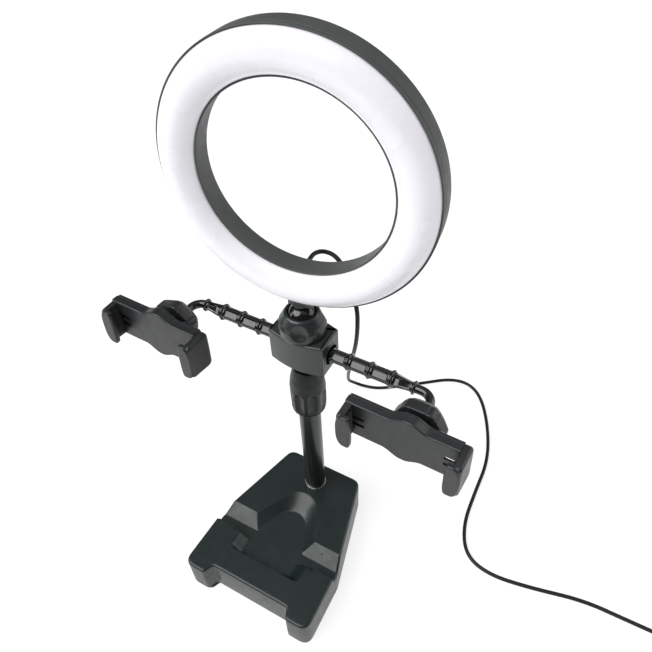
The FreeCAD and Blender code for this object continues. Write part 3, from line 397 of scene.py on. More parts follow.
def rounded(points, closed=False, steps=4):
    """A profile with its corners rounded: each point is (r, z, radius)."""
    count = len(points)
    out = []
    for i, (r, z, radius) in enumerate(points):
        here = Vector((r, z))
        if radius == 0 or (not closed and i in (0, count - 1)):
            out.append(here)
            continue
        before = Vector(points[i - 1][:2])
        after = Vector(points[(i + 1) % count][:2])
        a = (before - here).normalized()
        b = (after - here).normalized()
        half = a.angle(b) / 2
        reach = min(radius / math.tan(half), 0.48 * (before - here).length,
                    0.48 * (after - here).length)
        start, stop = here + a * reach, here + b * reach
        for k in range(steps + 1):
            t = k / steps
            out.append(start * (1 - t) ** 2 + here * (2 * t * (1 - t)) + stop * t ** 2)
    return out


def turns(count):
    """Equal steps once round, in radians."""
    return [2 * math.pi * i / count for i in range(count)]


def lathe_rows(profile, segments):
    """One row per profile point, all round the Z axis."""
    rows = []
    for point in profile:
        row = []
        for turn in turns(segments):
            row.append((point.x * math.cos(turn), point.x * math.sin(turn), point.y))
        rows.append(row)
    return rows


def lathe(name, points, place=None, segments=96, closed=False):
    """A turned mesh in metres from (r, z, rounding) in millimetres."""
    profile = [p * MM for p in rounded(points, closed)]
    rows = lathe_rows(profile, segments)
    if closed:
        rows.append(rows[0])
        return weld(grid_mesh(name, rows, place, caps=False))
    return grid_mesh(name, rows, place)


def shaped_rows(outline, segments, radius):
    """Closed rows in metres round the Z axis; radius(turn, point) gives each place's distance."""
    rows = []
    for point in outline:
        row = []
        for turn in turns(segments):
            r = radius(turn, point)
            row.append((r * MM * math.cos(turn), r * MM * math.sin(turn), point.y * MM))
        rows.append(row)
    rows.append(rows[0])
    return rows


def turned_about(axis, degrees):
    return Matrix.Rotation(math.radians(degrees), 4, axis)


def shift(x, y, z):
    return Matrix.Translation(Vector((x, y, z)) * MM)


# ---- cord ----

# The route is listed: as the photo shows it down to its cut end, and guessed beyond. THROUGH
# runs inside the switch box, below the buttons.
CORD_RADIUS = 1.5 * MM
ROUTE = [
    (-9.3, 19.7, 246.4), (-10.4, 29.0, 245.9), (-11.4, 37.0, 245.0), (-7.2, 42.6, 244.0),
    (0.8, 43.4, 242.0), (9.0, 39.4, 237.6), (16.4, 33.0, 230.0), (23.0, 30.0, 217.0),
    (23.6, 29.0, 197.0), (20.0, 33.0, 176.0), (12.0, 43.5, 149.0), (0.0, 62.0, 112.0),
    (-13.5, 84.0, 72.0), (-24.5, 104.0, 40.0), (-30.0, 114.5, 22.0), (-31.8, 120.2, 11.8),
    (-29.4, 125.4, 4.9), (-21.6, 128.0, 1.6), (-7.0, 131.5, 1.6), (10.0, 143.5, 1.6),
    (31.0, 159.5, 1.6), (51.0, 175.5, 1.6), (70.0, 179.0, 1.6), (87.0, 167.5, 1.6),
    (104.0, 138.0, 1.6), (116.0, 104.0, 1.6), (117.0, 68.0, 1.6), (119.0, 36.5, 1.6),
    (130.0, 12.5, 1.6), (152.0, 6.0, 1.6), (184.0, 11.5, 1.6), (221.0, 21.0, 1.6),
    (252.0, 21.8, 1.6), (276.0, 22.0, 2.6), (292.0, 22.0, 4.4),
]
THROUGH = [(297.0, 22.0, 2.2), (335.0, 22.0, 2.2), (340.0, 22.0, 4.0), (352.0, 22.0, 3.0)]
COIL_AT = (364.0, 40.0)
COIL_OUT = 18.05
COIL_IN = 14.85
COIL_LOW = 1.6
COIL_STEP = 3.15
COIL_TURNS = 6
COIL_POINTS = 24
TAIL = [(360.0, 58.9, 11.0), (352.0, 58.8, 9.6), (344.5, 58.2, 6.0), (339.5, 58.0, 4.4),
        (334.0, 58.0, 4.2)]


def ease(t):
    t = max(0.0, min(1.0, t))
    return t * t * (3 - 2 * t)


def coil_points():
    """Six turns in two columns and three layers. Each turn steps over a little earlier than the
    one before it, so that neighbours never meet."""
    stations = [(COIL_OUT, 0), (COIL_IN, 0), (COIL_IN, 1), (COIL_OUT, 1), (COIL_OUT, 2), (COIL_IN, 2)]
    width = 30 / 360
    outward = 1 / math.cos(math.pi / COIL_POINTS)
    points = []
    for i in range(1, COIL_TURNS * COIL_POINTS - 5):
        turn = i / COIL_POINTS
        radius, level = stations[0]
        for k in range(1, COIL_TURNS):
            middle = k - (k - 1) * width
            amount = ease((turn - middle) / width + 0.5)
            radius += (stations[k][0] - stations[k - 1][0]) * amount
            level += (stations[k][1] - stations[k - 1][1]) * amount
        angle = 2 * math.pi * turn - math.pi / 2
        wobble = 1 + 0.004 * math.sin(5 * angle + turn)
        points.append((
            COIL_AT[0] + radius * outward * wobble * math.cos(angle),
            COIL_AT[1] + radius * outward * wobble * math.sin(angle),
            COIL_LOW + COIL_STEP * level,
        ))
    return points


def make_curve(name, points, radius, slot_name, body, nodes):
    data = bpy.data.curves.new(name, "CURVE")
    data.dimensions = "3D"
    data.bevel_depth = radius
    data.bevel_resolution = 5
    data.resolution_u = 8
    data.use_fill_caps = True
    spline = data.splines.new("NURBS")
    spline.points.add(len(points) - 1)
    for target, point in zip(spline.points, points):
        target.co = (*(Vector(point) * MM), 1)
    spline.order_u = 3
    spline.use_endpoint_u = True
    data.materials.append(MATERIALS[slot_name])
    obj = put(name, data)
    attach(obj, body)
    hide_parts(*nodes)
    return obj


def make_cord():
    points = ROUTE + THROUGH + coil_points() + TAIL
    cord = make_curve("power_cord", points, CORD_RADIUS, "cord", "base", ["cord_tube", "cord_coil"])
    carried = [make_tie(), make_plug()] + make_controller() + [bpy.data.objects[node] for node in (
        "controller_lower", "controller_upper", "controller_power", "controller_brighter",
        "controller_dimmer", "plug_grip", "plug_shell")]


def make_tie():
    """Soft strap round the coil's section."""
    middle = (COIL_IN + COIL_OUT) / 2
    half_wide, half_tall = 3.6, 5.3
    loop = rounded([(middle - half_wide, -0.4, 1.5), (middle + half_wide, -0.4, 1.5),
                    (middle + half_wide, 2 * half_tall - 0.4, 1.5),
                    (middle - half_wide, 2 * half_tall - 0.4, 1.5)], closed=True)
    centre = Vector((middle, half_tall - 0.4))
    rows = []
    for scale, along in ((1.0, -3.0), (1.1, -2.7), (1.1, 2.7), (1.0, 3.0)):
        rows.append([(centre.x + (p.x - centre.x) * scale, along,
                      max(0.1, centre.y + (p.y - centre.y) * scale)) for p in loop])
    rows = [[Vector(p) * MM for p in row] for row in rows]
    place = shift(COIL_AT[0], COIL_AT[1], 0) @ turned_about("Z", 20)
    mesh = grid_mesh("coil_tie", rows, place, caps=False)
    return add_piece("coil_tie", mesh, "cord", "base", material=MATERIALS["pad"])


# ---- frames of the moving groups ----


def ring_frame():
    return shift(0, 0, HEAD_LEVEL) @ turned_about("Z", 6.6) @ turned_about("X", -3.2)


def face_frame():
    """Z points out of the lamp's face; the face's rim is at zero."""
    return ring_frame() @ shift(0, -4.9, 94.6) @ turned_about("X", 90)


BALL_SHIFT = 2.2
BALL_FORWARD = 22
REACH = 88.0


def ball_place(side):
    return side * REACH + BALL_SHIFT, -BALL_FORWARD, ARM_LEVEL


def clamp_frame(side):
    """Centred on the clamp's ball; X runs along the jaws and -Y faces the phone."""
    turn, tip, roll = (-2.0, -1.0, -1.5) if side > 0 else (-3.0, -4.0, -2.5)
    place = shift(*ball_place(side))
    return place @ turned_about("Z", turn) @ turned_about("X", tip) @ turned_about("Y", roll)


# ---- lamp ----


def make_lamp():
    place = face_frame()
    housing = lathe("ring_shell", [
        (55.9, 0, 0.5), (56.15, -4.0, 0.2), (57.1, -15.3, 2.4), (79.6, -15.3, 1.8), (80.0, -3.2, 0.1),
        (79.75, -3.05, 0.05), (79.75, -2.75, 0.05), (80.0, -2.6, 0.1), (80.0, 0, 0.4), (79.25, 0.05, 0.1),
        (79.2, -1.2, 0.05), (78.0, -1.3, 0.1), (77.8, -10.6, 0.3), (59.2, -10.6, 0.3), (58.0, -1.3, 0.1),
        (56.75, -1.2, 0.05), (56.7, 0.05, 0.1),
    ], place, segments=256, closed=True)
    add_piece("ring_shell", housing, "ring", "lamp", ["ring_housing"])
    make_dome(place)
    make_back_details(place)


def make_dome(place):
    low, high, rise = 57.1, 78.85, 7.0
    middle, half = (low + high) / 2, (high - low) / 2
    radius = (half * half + rise * rise) / (2 * rise)
    spread = math.asin(half / radius)
    outer = []
    for i in range(29):
        angle = spread * (i / 14 - 1)
        outer.append((middle + radius * math.sin(angle), 0.1 + rise - radius * (1 - math.cos(angle)), 0))
    outer = [(low, -1.0, 0)] + outer + [(high, -1.0, 0)]
    inner = [(middle + (p[0] - middle) * 0.78, 0.1 + max(0.0, (p[1] - 0.1) * 0.74), 0)
             for p in reversed(outer)]
    mesh = lathe("diffuser_dome", outer + inner, place, segments=256, closed=True)
    add_piece("diffuser_dome", mesh, "diffuser", "lamp", ["ring_diffuser"])


def screw_head(radius, tall, place):
    """Pan head with a cross recess, as a mesh standing on its own plane."""
    profile = rounded([(0.25 * radius, -0.3, 0), (radius, -0.3, 0), (radius, 0.35 * tall, 0.3 * tall),
                       (0.5 * radius, tall, 0.2), (0.36 * radius, tall, 0)])
    rows = lathe_rows([p * MM for p in profile], 32)
    for k, (scale, depth) in enumerate(((1.0, 0.0), (0.72, -0.35), (0.3, -0.75))):
        row = []
        for turn in turns(32):
            arm = abs(math.cos(2 * turn)) ** 3
            r = 0.36 * radius * scale * (0.5 + 0.5 * arm if k else 1.0)
            row.append((r * MM * math.cos(turn), r * MM * math.sin(turn), (tall + depth * tall) * MM))
        rows.append(row)
    return grid_mesh("screw_head", rows, place)


def join_meshes(name, meshes):
    bm = bmesh.new()
    for mesh in meshes:
        bm.from_mesh(mesh)
        bpy.data.meshes.remove(mesh)
    return smooth(to_mesh(bm, name))


def make_back_details(place):
    heads = []
    cups = []
    for k in range(6):
        turn = turned_about("Z", 60 * k + 30)
        spot = place @ turn @ shift(68.3, 0, -15.3) @ turned_about("X", 180)
        heads.append(screw_head(2.0, 0.5, spot))
        cups.append(lathe("cup", [(2.2, 0.0, 0), (2.4, 0.35, 0.15), (3.1, 0.35, 0.15), (3.5, 0.0, 0)],
                          spot, 32))
    add_piece("ring_back_screws", join_meshes("ring_back_screws", heads), "steel", "lamp")
    add_piece("ring_back_cups", join_meshes("ring_back_cups", cups), "ring", "lamp")


def make_gland():
    place = ring_frame() @ shift(-7.0, 10.4, 20.5) @ turned_about("X", -90)
    profile = [(0.5, 0.0, 0), (3.6, 0.0, 0.2), (3.6, 1.2, 0.4), (2.9, 1.5, 0.2)]
    for k in range(4):
        z = 2.0 + 1.6 * k
        r = 2.85 - 0.18 * k
        profile += [(r, z, 0.15), (r - 0.05, z + 0.8, 0.15),
                    (r - 0.5, z + 0.95, 0.1), (r - 0.5, z + 1.4, 0.1)]
    profile += [(2.0, 8.6, 0.2), (1.9, 9.0, 0.2), (0.5, 9.0, 0)]
    mesh = lathe("cord_relief", profile, place, 48)
    add_piece("cord_relief", mesh, "cord", "lamp", ["cord_gland"])


# ---- mast, collar, head nut ----


def make_mast():
    tube = lathe("mast_tube", [(7.0, 16, 0), (8.0, 16, 0.2), (8.0, 154, 0.4), (7.0, 154, 0.2)])
    add_piece("mast_tube", tube, "mast", "base", ["mast_outer_tube"])
    inner = lathe("mast_inner", [(5.0, 45, 0), (6.0, 45, 0.2), (6.0, 196.3, 0.3), (5.0, 196.3, 0)])
    add_piece("mast_inner", inner, "mast", "mast", ["mast_inner_tube"])
    ring = lathe("mast_foot_trim", [(8.05, 32.0, 0), (8.55, 32.0, 0.1), (8.5, 32.35, 0.1),
                                    (8.05, 32.4, 0.1)], closed=True)
    add_piece("mast_foot_trim", ring, "steel", "base", ["mast_foot_ring"])
    make_collar()


def make_collar():
    """Grip collar: smooth shoulder above, eight flutes that run out softly."""
    outline = rounded([
        (8.15, 136.5, 0), (11.1, 136.5, 0.7), (12.1, 137.4, 0.5), (12.15, 138.1, 0.1),
        (11.6, 138.3, 0.05), (11.6, 138.8, 0.05), (12.3, 139.0, 0.1), (12.55, 142.5, 2), (12.65, 150, 4),
        (12.6, 160, 4), (11.7, 168, 5), (10.3, 174.3, 3), (8.9, 179, 0.8), (6.3, 179, 0.3),
        (6.3, 167, 0.2), (8.8, 165.5, 0.2), (8.8, 153.5, 0), (8.15, 153.5, 0),
    ], closed=True, steps=5)

    def fluted(turn, point):
        outside = point.x > 9.5
        return point.x - flute_depth(turn, point.y) if outside else point.x

    rows = shaped_rows(subdivided(outline, 1.2), 192, fluted)
    mesh = grid_mesh("collar_grip", rows, caps=False)
    add_piece("collar_grip", weld(mesh), "collar", "collar", ["lock_collar"])


FLUTE_DEEP = 1.25


def flute_depth(turn, z):
    """How far one of eight flutes sinks into the collar."""
    period = 2 * math.pi / 8
    off = (turn + period / 2) % period - period / 2
    half, low, high, run_out = 0.30, 138.9, 161.5, 3.0
    if abs(off) >= half or not low < z < high:
        return 0.0
    lengthwise = ease((z - low) / run_out) * ease((high - 3.0 * (off / half) ** 2 - z) / run_out)
    return FLUTE_DEEP * lengthwise * (1 - (off / half) ** 2)


def subdivided(profile, step):
    """Adds points on long straight runs of a closed profile."""
    out = []
    for a, b in zip(profile, profile[1:] + profile[:1]):
        count = max(1, int((b - a).length / step))
        out += [a.lerp(b, k / count) for k in range(count)]
    return out


def make_head_nut():
    level = HEAD_LEVEL
    outline = rounded([
        (12.1, 215.6, 0), (15.0, 215.6, 0.5), (15.3, 217.5, 0.6), (15.3, level - 4.4, 2.0),
        (14.2, level - 1.4, 2.0), (11.2, level + 3.6, 1.6), (10.2, level + 4.5, 0.7), (8.7, level + 4.4, 0.4),
        (9.0, level + 2.7, 0.2), (9.41, level + 0.3, 0.1), (11.15, level + 0.3, 0), (11.15, level - 4.4, 0),
        (12.1, level - 5.2, 0),
    ], closed=True, steps=5)

    def scalloped(turn, point):
        outside = point.x > 9.9 and point.y > 215.7
        return min(point.x, max(scallop_radius(turn, point.y), 9.6)) if outside else point.x

    rows = shaped_rows(subdivided(outline, 0.8), 200, scalloped)
    mesh = grid_mesh("head_grip", rows, caps=False)
    add_piece("head_grip", weld(mesh), "collar", "nut", ["head_nut"], MATERIALS["nut"])


def scallop_radius(turn, z):
    """How far out the nut's surface may reach beside the nearest finger scallop."""
    distance, ball = 21.6, 10.2
    period = 2 * math.pi / 3
    off = (turn - math.radians(-68) + period / 2) % period - period / 2
    room = ball ** 2 - (z - HEAD_LEVEL + 0.3) ** 2 - (distance * math.sin(off)) ** 2
    if room <= 0 or math.cos(off) <= 0:
        return 99.0
    return distance * math.cos(off) - math.sqrt(room)


def make_ball():
    place = ring_frame()
    profile = [(3.05, -2.0, 0), (3.05, 8.84, 0.2)]
    for k in range(33):
        angle = math.radians(19.05 + (180 - 19.05) * k / 32)
        profile.append((max(0.01, 9.35 * math.sin(angle)), 9.35 * math.cos(angle), 0))
    mesh = lathe("head_ball_shell", profile, place, 96)
    add_piece("head_ball_shell", mesh, "gloss", "ball", ["head_ball"])


# ---- arms ----


ARM_ROD = 4.95
RIB_START = 33.0
RIB_PITCH = 14.7
RIB_ROOM = 1.9


def arm_radius(x, turn):
    """Radius of the ribbed rod at a distance x from the mast and an angle round it."""
    taper_start, taper_end = 62.4, 77.1
    rod = 4.5 if x < 20.2 else ARM_ROD - 1.6 * ease((x - taper_start) / (taper_end - taper_start))
    rod = rod - panel_depth(x, turn, rod)
    for k in range(4):
        height = 5.9 if k < 3 else 4.6
        flank = 1 - ((x - RIB_START - RIB_PITCH * k) / 0.95) ** 2
        if flank > 0:
            rod = max(rod, rod + (height - rod) * math.sqrt(flank))
    return rod


def panel_depth(x, turn, rod):
    """Sunk flat panels on the four diagonal sides of every bay."""
    for bay in range(4):
        low = 20.9 if bay == 0 else RIB_START + (bay - 1) * RIB_PITCH + RIB_ROOM
        high = RIB_START + bay * RIB_PITCH - RIB_ROOM
        if low < x < high:
            break
    else:
        return 0.0
    off = turn % (math.pi / 2) - math.pi / 4
    half = 0.56
    if abs(off) >= half:
        return 0.0
    flat = (3.75 if rod > 4.5 else 3.75 - (4.5 - rod)) / math.cos(off)
    across = ease((half - abs(off)) / 0.09)
    along = ease((x - low) / 0.7) * ease((high - x) / 0.7)
    return max(0.0, rod - flat) * across * along


def make_arm(side, label, body):
    segments = 112
    start, stop = 8.0, 78.3
    stations = []
    x = start
    while x < stop:
        stations.append(x)
        x += 0.32 if x > 19 else 1.0
    stations.append(stop)
    rows = []
    for x in stations:
        row = []
        for turn in turns(segments):
            r = arm_radius(x, turn)
            row.append((side * x * MM, r * MM * math.cos(turn), (ARM_LEVEL + r * math.sin(turn)) * MM))
        rows.append(row)
    rod = grid_mesh(f"{label}_rod", rows)
    add_piece(f"{label}_rod", rod, "gloss", body, [label])
    make_neck(side, label, body)


def make_neck(side, label, body):
    """Bent neck from the rod's end to the ball that the clamp turns on."""
    bend, reach, radius = 8.4, REACH + side * BALL_SHIFT, 2.95
    path = [(side * 76.0, 0.0, 90), (side * (reach - bend), 0.0, 90)]
    for k in range(1, 12):
        angle = math.radians(90 * k / 12)
        path.append((side * (reach - bend + bend * math.sin(angle)), -bend + bend * math.cos(angle),
                     90 - 90 * k / 12))
    path += [(side * reach, -bend, 0), (side * reach, -17.0, 0)]
    rows = []
    for x, y, heading in path:
        along = math.radians(heading)
        across = Vector((side * math.cos(along), math.sin(along), 0))
        centre = Vector((x, y, ARM_LEVEL))
        row = []
        for turn in turns(40):
            away = across * (radius * math.cos(turn)), Vector((0, 0, radius * math.sin(turn)))
            row.append((centre + away[0] + away[1]) * MM)
        rows.append(row)
    neck = grid_mesh(f"{label}_neck", rows)
    profile = []
    for k in range(25):
        angle = math.pi * k / 24
        profile.append((max(0.01, 6.0 * math.sin(angle)), 6.0 * math.cos(angle), 0))
    ball = lathe("ball", profile, shift(*ball_place(side)), 48)
    add_piece(f"{label}_neck", join_meshes(f"{label}_neck", [neck, ball]), "gloss", body)


# ---- flat shapes with rounded edges ----


def offset(outline, amount):
    """Moves a closed anticlockwise outline inwards by an amount."""
    out = []
    count = len(outline)
    for i, here in enumerate(outline):
        a = (here - outline[i - 1]).normalized()
        b = (outline[(i + 1) % count] - here).normalized()
        n = Vector((-a.y - b.y, a.x + b.x))
        scale = 1 + a.dot(b)
        out.append(here + n * (amount / max(scale, 0.4)))
    return out


def edge_steps(radius):
    """(inset, height) pairs that round an edge, from the flat side to the wall."""
    steps = 4
    pairs = [(radius + 0.35, 0.0), (radius, 0.0)]
    for k in range(1, steps + 1):
        angle = math.pi / 2 * k / steps
        pairs.append((radius * (1 - math.sin(angle)), radius * (1 - math.cos(angle))))
    pairs.append((0.0, radius + 0.25))
    return pairs


def slab(name, outline, low, high, round_low, round_high, axes="xyz", place=None):
    """A plate between two levels with both rims rounded. axes says where u, v and depth go."""
    rows = []
    stations = [(inset, low + up) for inset, up in edge_steps(round_low)]
    stations += [(inset, high - up) for inset, up in reversed(edge_steps(round_high))]
    for inset, level in stations:
        row = []
        for p in offset(outline, inset):
            spot = {axes[0]: p.x, axes[1]: p.y, axes[2]: level}
            row.append(Vector((spot["x"], spot["y"], spot["z"])) * MM)
        rows.append(row)
    return grid_mesh(name, rows, place)


def carve(mesh, *cutters):
    """Cuts clean holes in a closed mesh."""
    obj = put("work", mesh)
    helpers = []
    for cutter in cutters:
        helper = put("cutter", cutter)
        helpers.append(helper)
        mod = obj.modifiers.new("cut", "BOOLEAN")
        mod.operation = "DIFFERENCE"
        mod.solver = "EXACT"
        mod.object = helper
    bake_modifiers(obj)
    mesh = obj.data
    bpy.data.objects.remove(obj)
    for helper in helpers:
        old = helper.data
        bpy.data.objects.remove(helper)
        bpy.data.meshes.remove(old)
    return smooth(mesh, 35)


# ---- base ----

BASE_TOP = 32.0
BASE_FLOOR = 25.0
BASE_FOOT = 1.5
BASE_ROUND = 2.0
GROOVE = [(-65.9, 0.0), (-65.1, 1.0), (-57.5, 1.0), (-47.4, 0.0)]
BAY_FLOOR = [(12.0, -36.5), (20.5, -58.0), (24.5, -68.0)]
BAY_RIM = [(13.2, -20.5), (33.2, -58.0), (42.0, -74.5)]
TRAY_FRONT = -80.8
TRAY_HALF = 20.5
TRAY_SLOPE = 11.0
# Rows of points are laid along these, the edges of the tray and the groove.
FEATURE_LINES = (-81.2, -80.5, -65.9, -65.1, -57.5, -47.4)


def base_outline():
    """Outline of the cover, with its points closer together beside the groove."""
    half = [(32.5, -100.0, 3.6), (36.0, -107.8, 3.6), (54.0, -107.8, 8), (52.6, -60.0, 6), (32.8, 16.2, 8)]
    corners = half + [(-x, y, r) for x, y, r in reversed(half)]
    curve = rounded(corners, closed=True, steps=9)
    out = []
    for a, b in zip(curve, curve[1:] + curve[:1]):
        pitch = 0.5 if -68 < (a.y + b.y) / 2 < -45 else 1.4
        count = max(1, int((b - a).length / pitch))
        out += [a.lerp(b, k / count) for k in range(count)]
    return out


def arc_of(points, crown):
    """One side of a bay outline and its round back, as a polygon open towards the front."""
    x, y = points[0]
    rise = crown - y
    radius = (x * x + rise * rise) / (2 * rise)
    spread = math.asin(min(1.0, x / radius)) if rise < x else math.pi - math.asin(x / radius)
    back = []
    for k in range(1, 24):
        angle = spread * (1 - 2 * k / 24)
        back.append(Vector((radius * math.sin(angle), crown - radius + radius * math.cos(angle))))
    right = [Vector(p) for p in reversed(points)]
    left = [Vector((-p[0], p[1])) for p in points]
    return right + back + left


def gap_to(point, chain):
    """Distance to a chain of points."""
    best = 1e9
    for a, b in zip(chain, chain[1:]):
        run = b - a
        t = max(0.0, min(1.0, (point - a).dot(run) / run.length_squared))
        best = min(best, (a + run * t - point).length_squared)
    return math.sqrt(best)


def inside(point, chain):
    """Whether a point lies within a chain closed on itself."""
    odd = False
    for a, b in zip(chain, chain[1:] + chain[:1]):
        if (a.y > point.y) != (b.y > point.y):
            if point.x < a.x + (b.x - a.x) * (point.y - a.y) / (b.y - a.y):
                odd = not odd
    return odd


FLOOR_CHAIN = arc_of(BAY_FLOOR, -29.5)
RIM_CHAIN = arc_of(BAY_RIM, -13.2)


def groove_depth(y):
    """Depth of the groove across the base, from 0 at the top to 1 at its floor."""
    for (y0, d0), (y1, d1) in zip(GROOVE, GROOVE[1:]):
        if y0 <= y <= y1:
            return d0 + (d1 - d0) * (y - y0) / (y1 - y0)
    return 0.0


def bay_depth(point):
    """Depth of the round-backed bay in front of the mast, with sloping walls."""
    if not -67 < point.y < -12 or abs(point.x) > 42:
        return 0.0
    if inside(point, FLOOR_CHAIN):
        return 1.0
    if not inside(point, RIM_CHAIN):
        return 0.0
    near_floor = gap_to(point, FLOOR_CHAIN)
    near_rim = gap_to(point, RIM_CHAIN)
    return max(0.0, 1.0 - 1.07 * near_floor / (near_floor + near_rim + 1e-6))


def tray_depth(point):
    """Tray in front of the groove and level with it: sloping ends, a steep front, round corners."""
    if not TRAY_FRONT - 0.5 < point.y < -64.5:
        return 0.0
    side = ease((abs(point.x) - TRAY_HALF) / TRAY_SLOPE)
    front = (TRAY_FRONT + 0.4 - point.y) / 0.8
    corner = TRAY_FRONT + 3.5 - point.y
    if corner > 0 and abs(point.x) > TRAY_HALF - 3.5:
        side += 0.35 * (corner / 3.5) ** 2
    return 1.0 - max(0.0, min(1.0, max(side, front)))


def surface(point):
    depth = max(groove_depth(point.y), bay_depth(point), tray_depth(point))
    return BASE_TOP - (BASE_TOP - BASE_FLOOR) * depth


def inner_points(chain):
    """A grid of points inside the top's flat part, with rows on the groove's edges."""
    levels = []
    y = -107.0
    while y < 16:
        levels.append(y)
        y += 1.0 if not -84 < y < -13 else 0.9
    levels = [v for v in levels if min(abs(v - f) for f in FEATURE_LINES) > 0.35] + list(FEATURE_LINES)
    spots = []
    for y in levels:
        for i in range(-59, 60):
            spot = Vector((i * 0.93 + 0.0007 * i * y / 9, y))
            if inside(spot, chain) and gap_to(spot, chain + chain[:1]) > 0.5:
                spots.append(spot)
    return spots


def make_base():
    """The cover: walls, a rounded rim that follows the top, and a triangulated top."""
    outline = base_outline()
    flat = offset(outline, BASE_ROUND)
    bm = bmesh.new()
    verts = {}

    def vertex(x, y, z):
        key = (round(x, 4), round(y, 4), round(z, 3))
        if key not in verts:
            verts[key] = bm.verts.new(Vector((x, y, z)) * MM)
        return verts[key]

    tops = [surface(p) for p in outline]
    rows = [[vertex(p.x, p.y, BASE_FOOT) for p in outline]]
    rows.append([vertex(p.x, p.y, BASE_FOOT + 1.0) for p in outline])
    for k in range(7):
        angle = math.pi / 2 * k / 6
        inset = BASE_ROUND * (1 - math.cos(angle))
        drop = BASE_ROUND * (1 - math.sin(angle))
        rows.append([vertex(q.x, q.y, top - drop) for q, top in zip(offset(outline, inset), tops)])
    count = len(outline)
    for lower, upper in zip(rows, rows[1:]):
        for i in range(count):
            j = (i + 1) % count
            corners = [lower[i], lower[j], upper[j], upper[i]]
            if len(set(corners)) == 4:
                bm.faces.new(corners)
    spots = flat + inner_points(flat)
    loop = list(range(len(flat)))
    edges = [(i, (i + 1) % len(flat)) for i in loop]
    found = delaunay_2d_cdt(spots, edges, [loop], 1, 1e-5)
    ring = rows[-1]
    kept = []
    for i, p in enumerate(found[0]):
        if i < len(flat) and (p - flat[i]).length < 1e-4:
            kept.append(ring[i])
        else:
            kept.append(bm.verts.new(Vector((p.x, p.y, surface(p))) * MM))
    for face in found[2]:
        corners = [kept[i] for i in face]
        if len(set(corners)) == len(corners):
            bm.faces.new(corners)
    bm.faces.new(list(reversed(rows[0])))
    bmesh.ops.recalc_face_normals(bm, faces=bm.faces)
    mesh = to_mesh(bm, "base_shell")
    smooth(mesh, 62)
    add_piece("base_shell", mesh, "cover", "base", ["base_cover"])
    make_gate_marks()


def make_gate_marks():
    """Two faint moulding marks on the top."""
    marks = [lathe("mark", [(0.05, 0.0, 0), (0.75, 0.0, 0.1), (0.6, 0.12, 0.05), (0.05, 0.14, 0)],
                   shift(x, y, z), 20) for x, y, z in ((35.2, -51.7, 29.0), (27.8, -19.0, BASE_TOP))]
    add_piece("gate_marks", join_meshes("gate_marks", marks), "cover", "base")


# ---- clamps ----

PLATE_FRONT, PLATE_SPLIT, PLATE_BACK = -16.6, -11.1, -8.7
JAW_IN, JAW_OUT = 33.2, 38.2
JAW_FRONT = -28.2
SLOT_HALF = 1.25
SLOT_DEEP = 4.6
KNOB_BORE = 8.4
KNOB_TURN = {1: 0.0, -1: 19.0}
KNOB_RADIUS = 17.6


def swell(x, start, crest, fall, end):
    """A smooth hump with a level top."""
    return ease((x - start) / (crest - start)) * (1 - ease((x - fall) / (end - fall)))


def plate_outline(start, end, inset=0.0):
    xs = [start + (end - start) * k / 96 for k in range(97)]
    top = [Vector((x, 14.0 - inset + 4.4 * swell(x, -12.0, 1.0, 3.0, 15.0))) for x in xs]
    low = [Vector((x, -14.0 + inset - 4.4 * swell(x, -14.0, -2.0, 0.0, 12.0))) for x in xs]
    return low + list(reversed(top))


def box_mesh(low, high, place):
    bm = bmesh.new()
    bmesh.ops.create_cube(bm, size=1)
    size = Vector(high) - Vector(low)
    centre = (Vector(high) + Vector(low)) / 2
    bm.transform(place @ Matrix.Translation(centre * MM) @ Matrix.Diagonal((*(size * MM), 1)))
    return to_mesh(bm, "box")


def make_clamp(side, prefix, short):
    place = clamp_frame(side) @ shift(-BALL_SHIFT, 0, 0)
    body, jaw = f"clamp_{short}", f"jaw_{short}"
    plate = slab("plate", plate_outline(-JAW_OUT + 0.3, JAW_IN - 0.1), PLATE_FRONT, PLATE_SPLIT,
                 0.9, 0.25, "xzy", place)
    slots = [box_mesh((start, PLATE_FRONT - 1, z - SLOT_HALF), (end, PLATE_FRONT + SLOT_DEEP, z + SLOT_HALF),
                      place)
             for start, end in ((-33.0, -25.2), (24.4, 31.8)) for z in (2.7, -3.0)]
    plate = carve(plate, *slots)
    pieces = [plate] + jaw_parts(place, -1, PLATE_SPLIT)
    add_piece(f"{prefix}_front", join_meshes("front", pieces), "clamp", body, [f"{prefix}_body"])
    back = slab("back", plate_outline(-JAW_OUT + 0.7, JAW_IN - 0.15, 0.4), PLATE_SPLIT + 0.15,
                PLATE_BACK, 0.25, 0.9, "xzy", place)
    add_piece(f"{prefix}_rear", back, "clamp", body, [f"{prefix}_back"])
    slider = join_meshes("slider", jaw_parts(place, 1, PLATE_BACK + 0.2))
    add_piece(f"{prefix}_slider", slider, "clamp", jaw, [f"{prefix}_jaw"])
    for sign, label, owner in ((-1, "far", body), (1, "near", jaw)):
        inwards = place @ Matrix.Translation((sign * JAW_IN * MM, 0, 0)) @ Matrix.Diagonal((-sign, 1, 1, 1))
        pad = slab("pad", pad_outline(), 0, 0.9, 0.1, 0.3, "yzx", inwards)
        add_piece(f"{prefix}_grip_{label}", pad, "pad", owner, [f"{prefix}_pad_{label}"])
    make_knob(side, prefix, short)


def pad_outline():
    return rounded([(-24.4, -10.5, 1.5), (-17.4, -10.5, 1.0), (-17.4, 10.5, 1.0), (-24.4, 10.5, 1.5)],
                   closed=True)


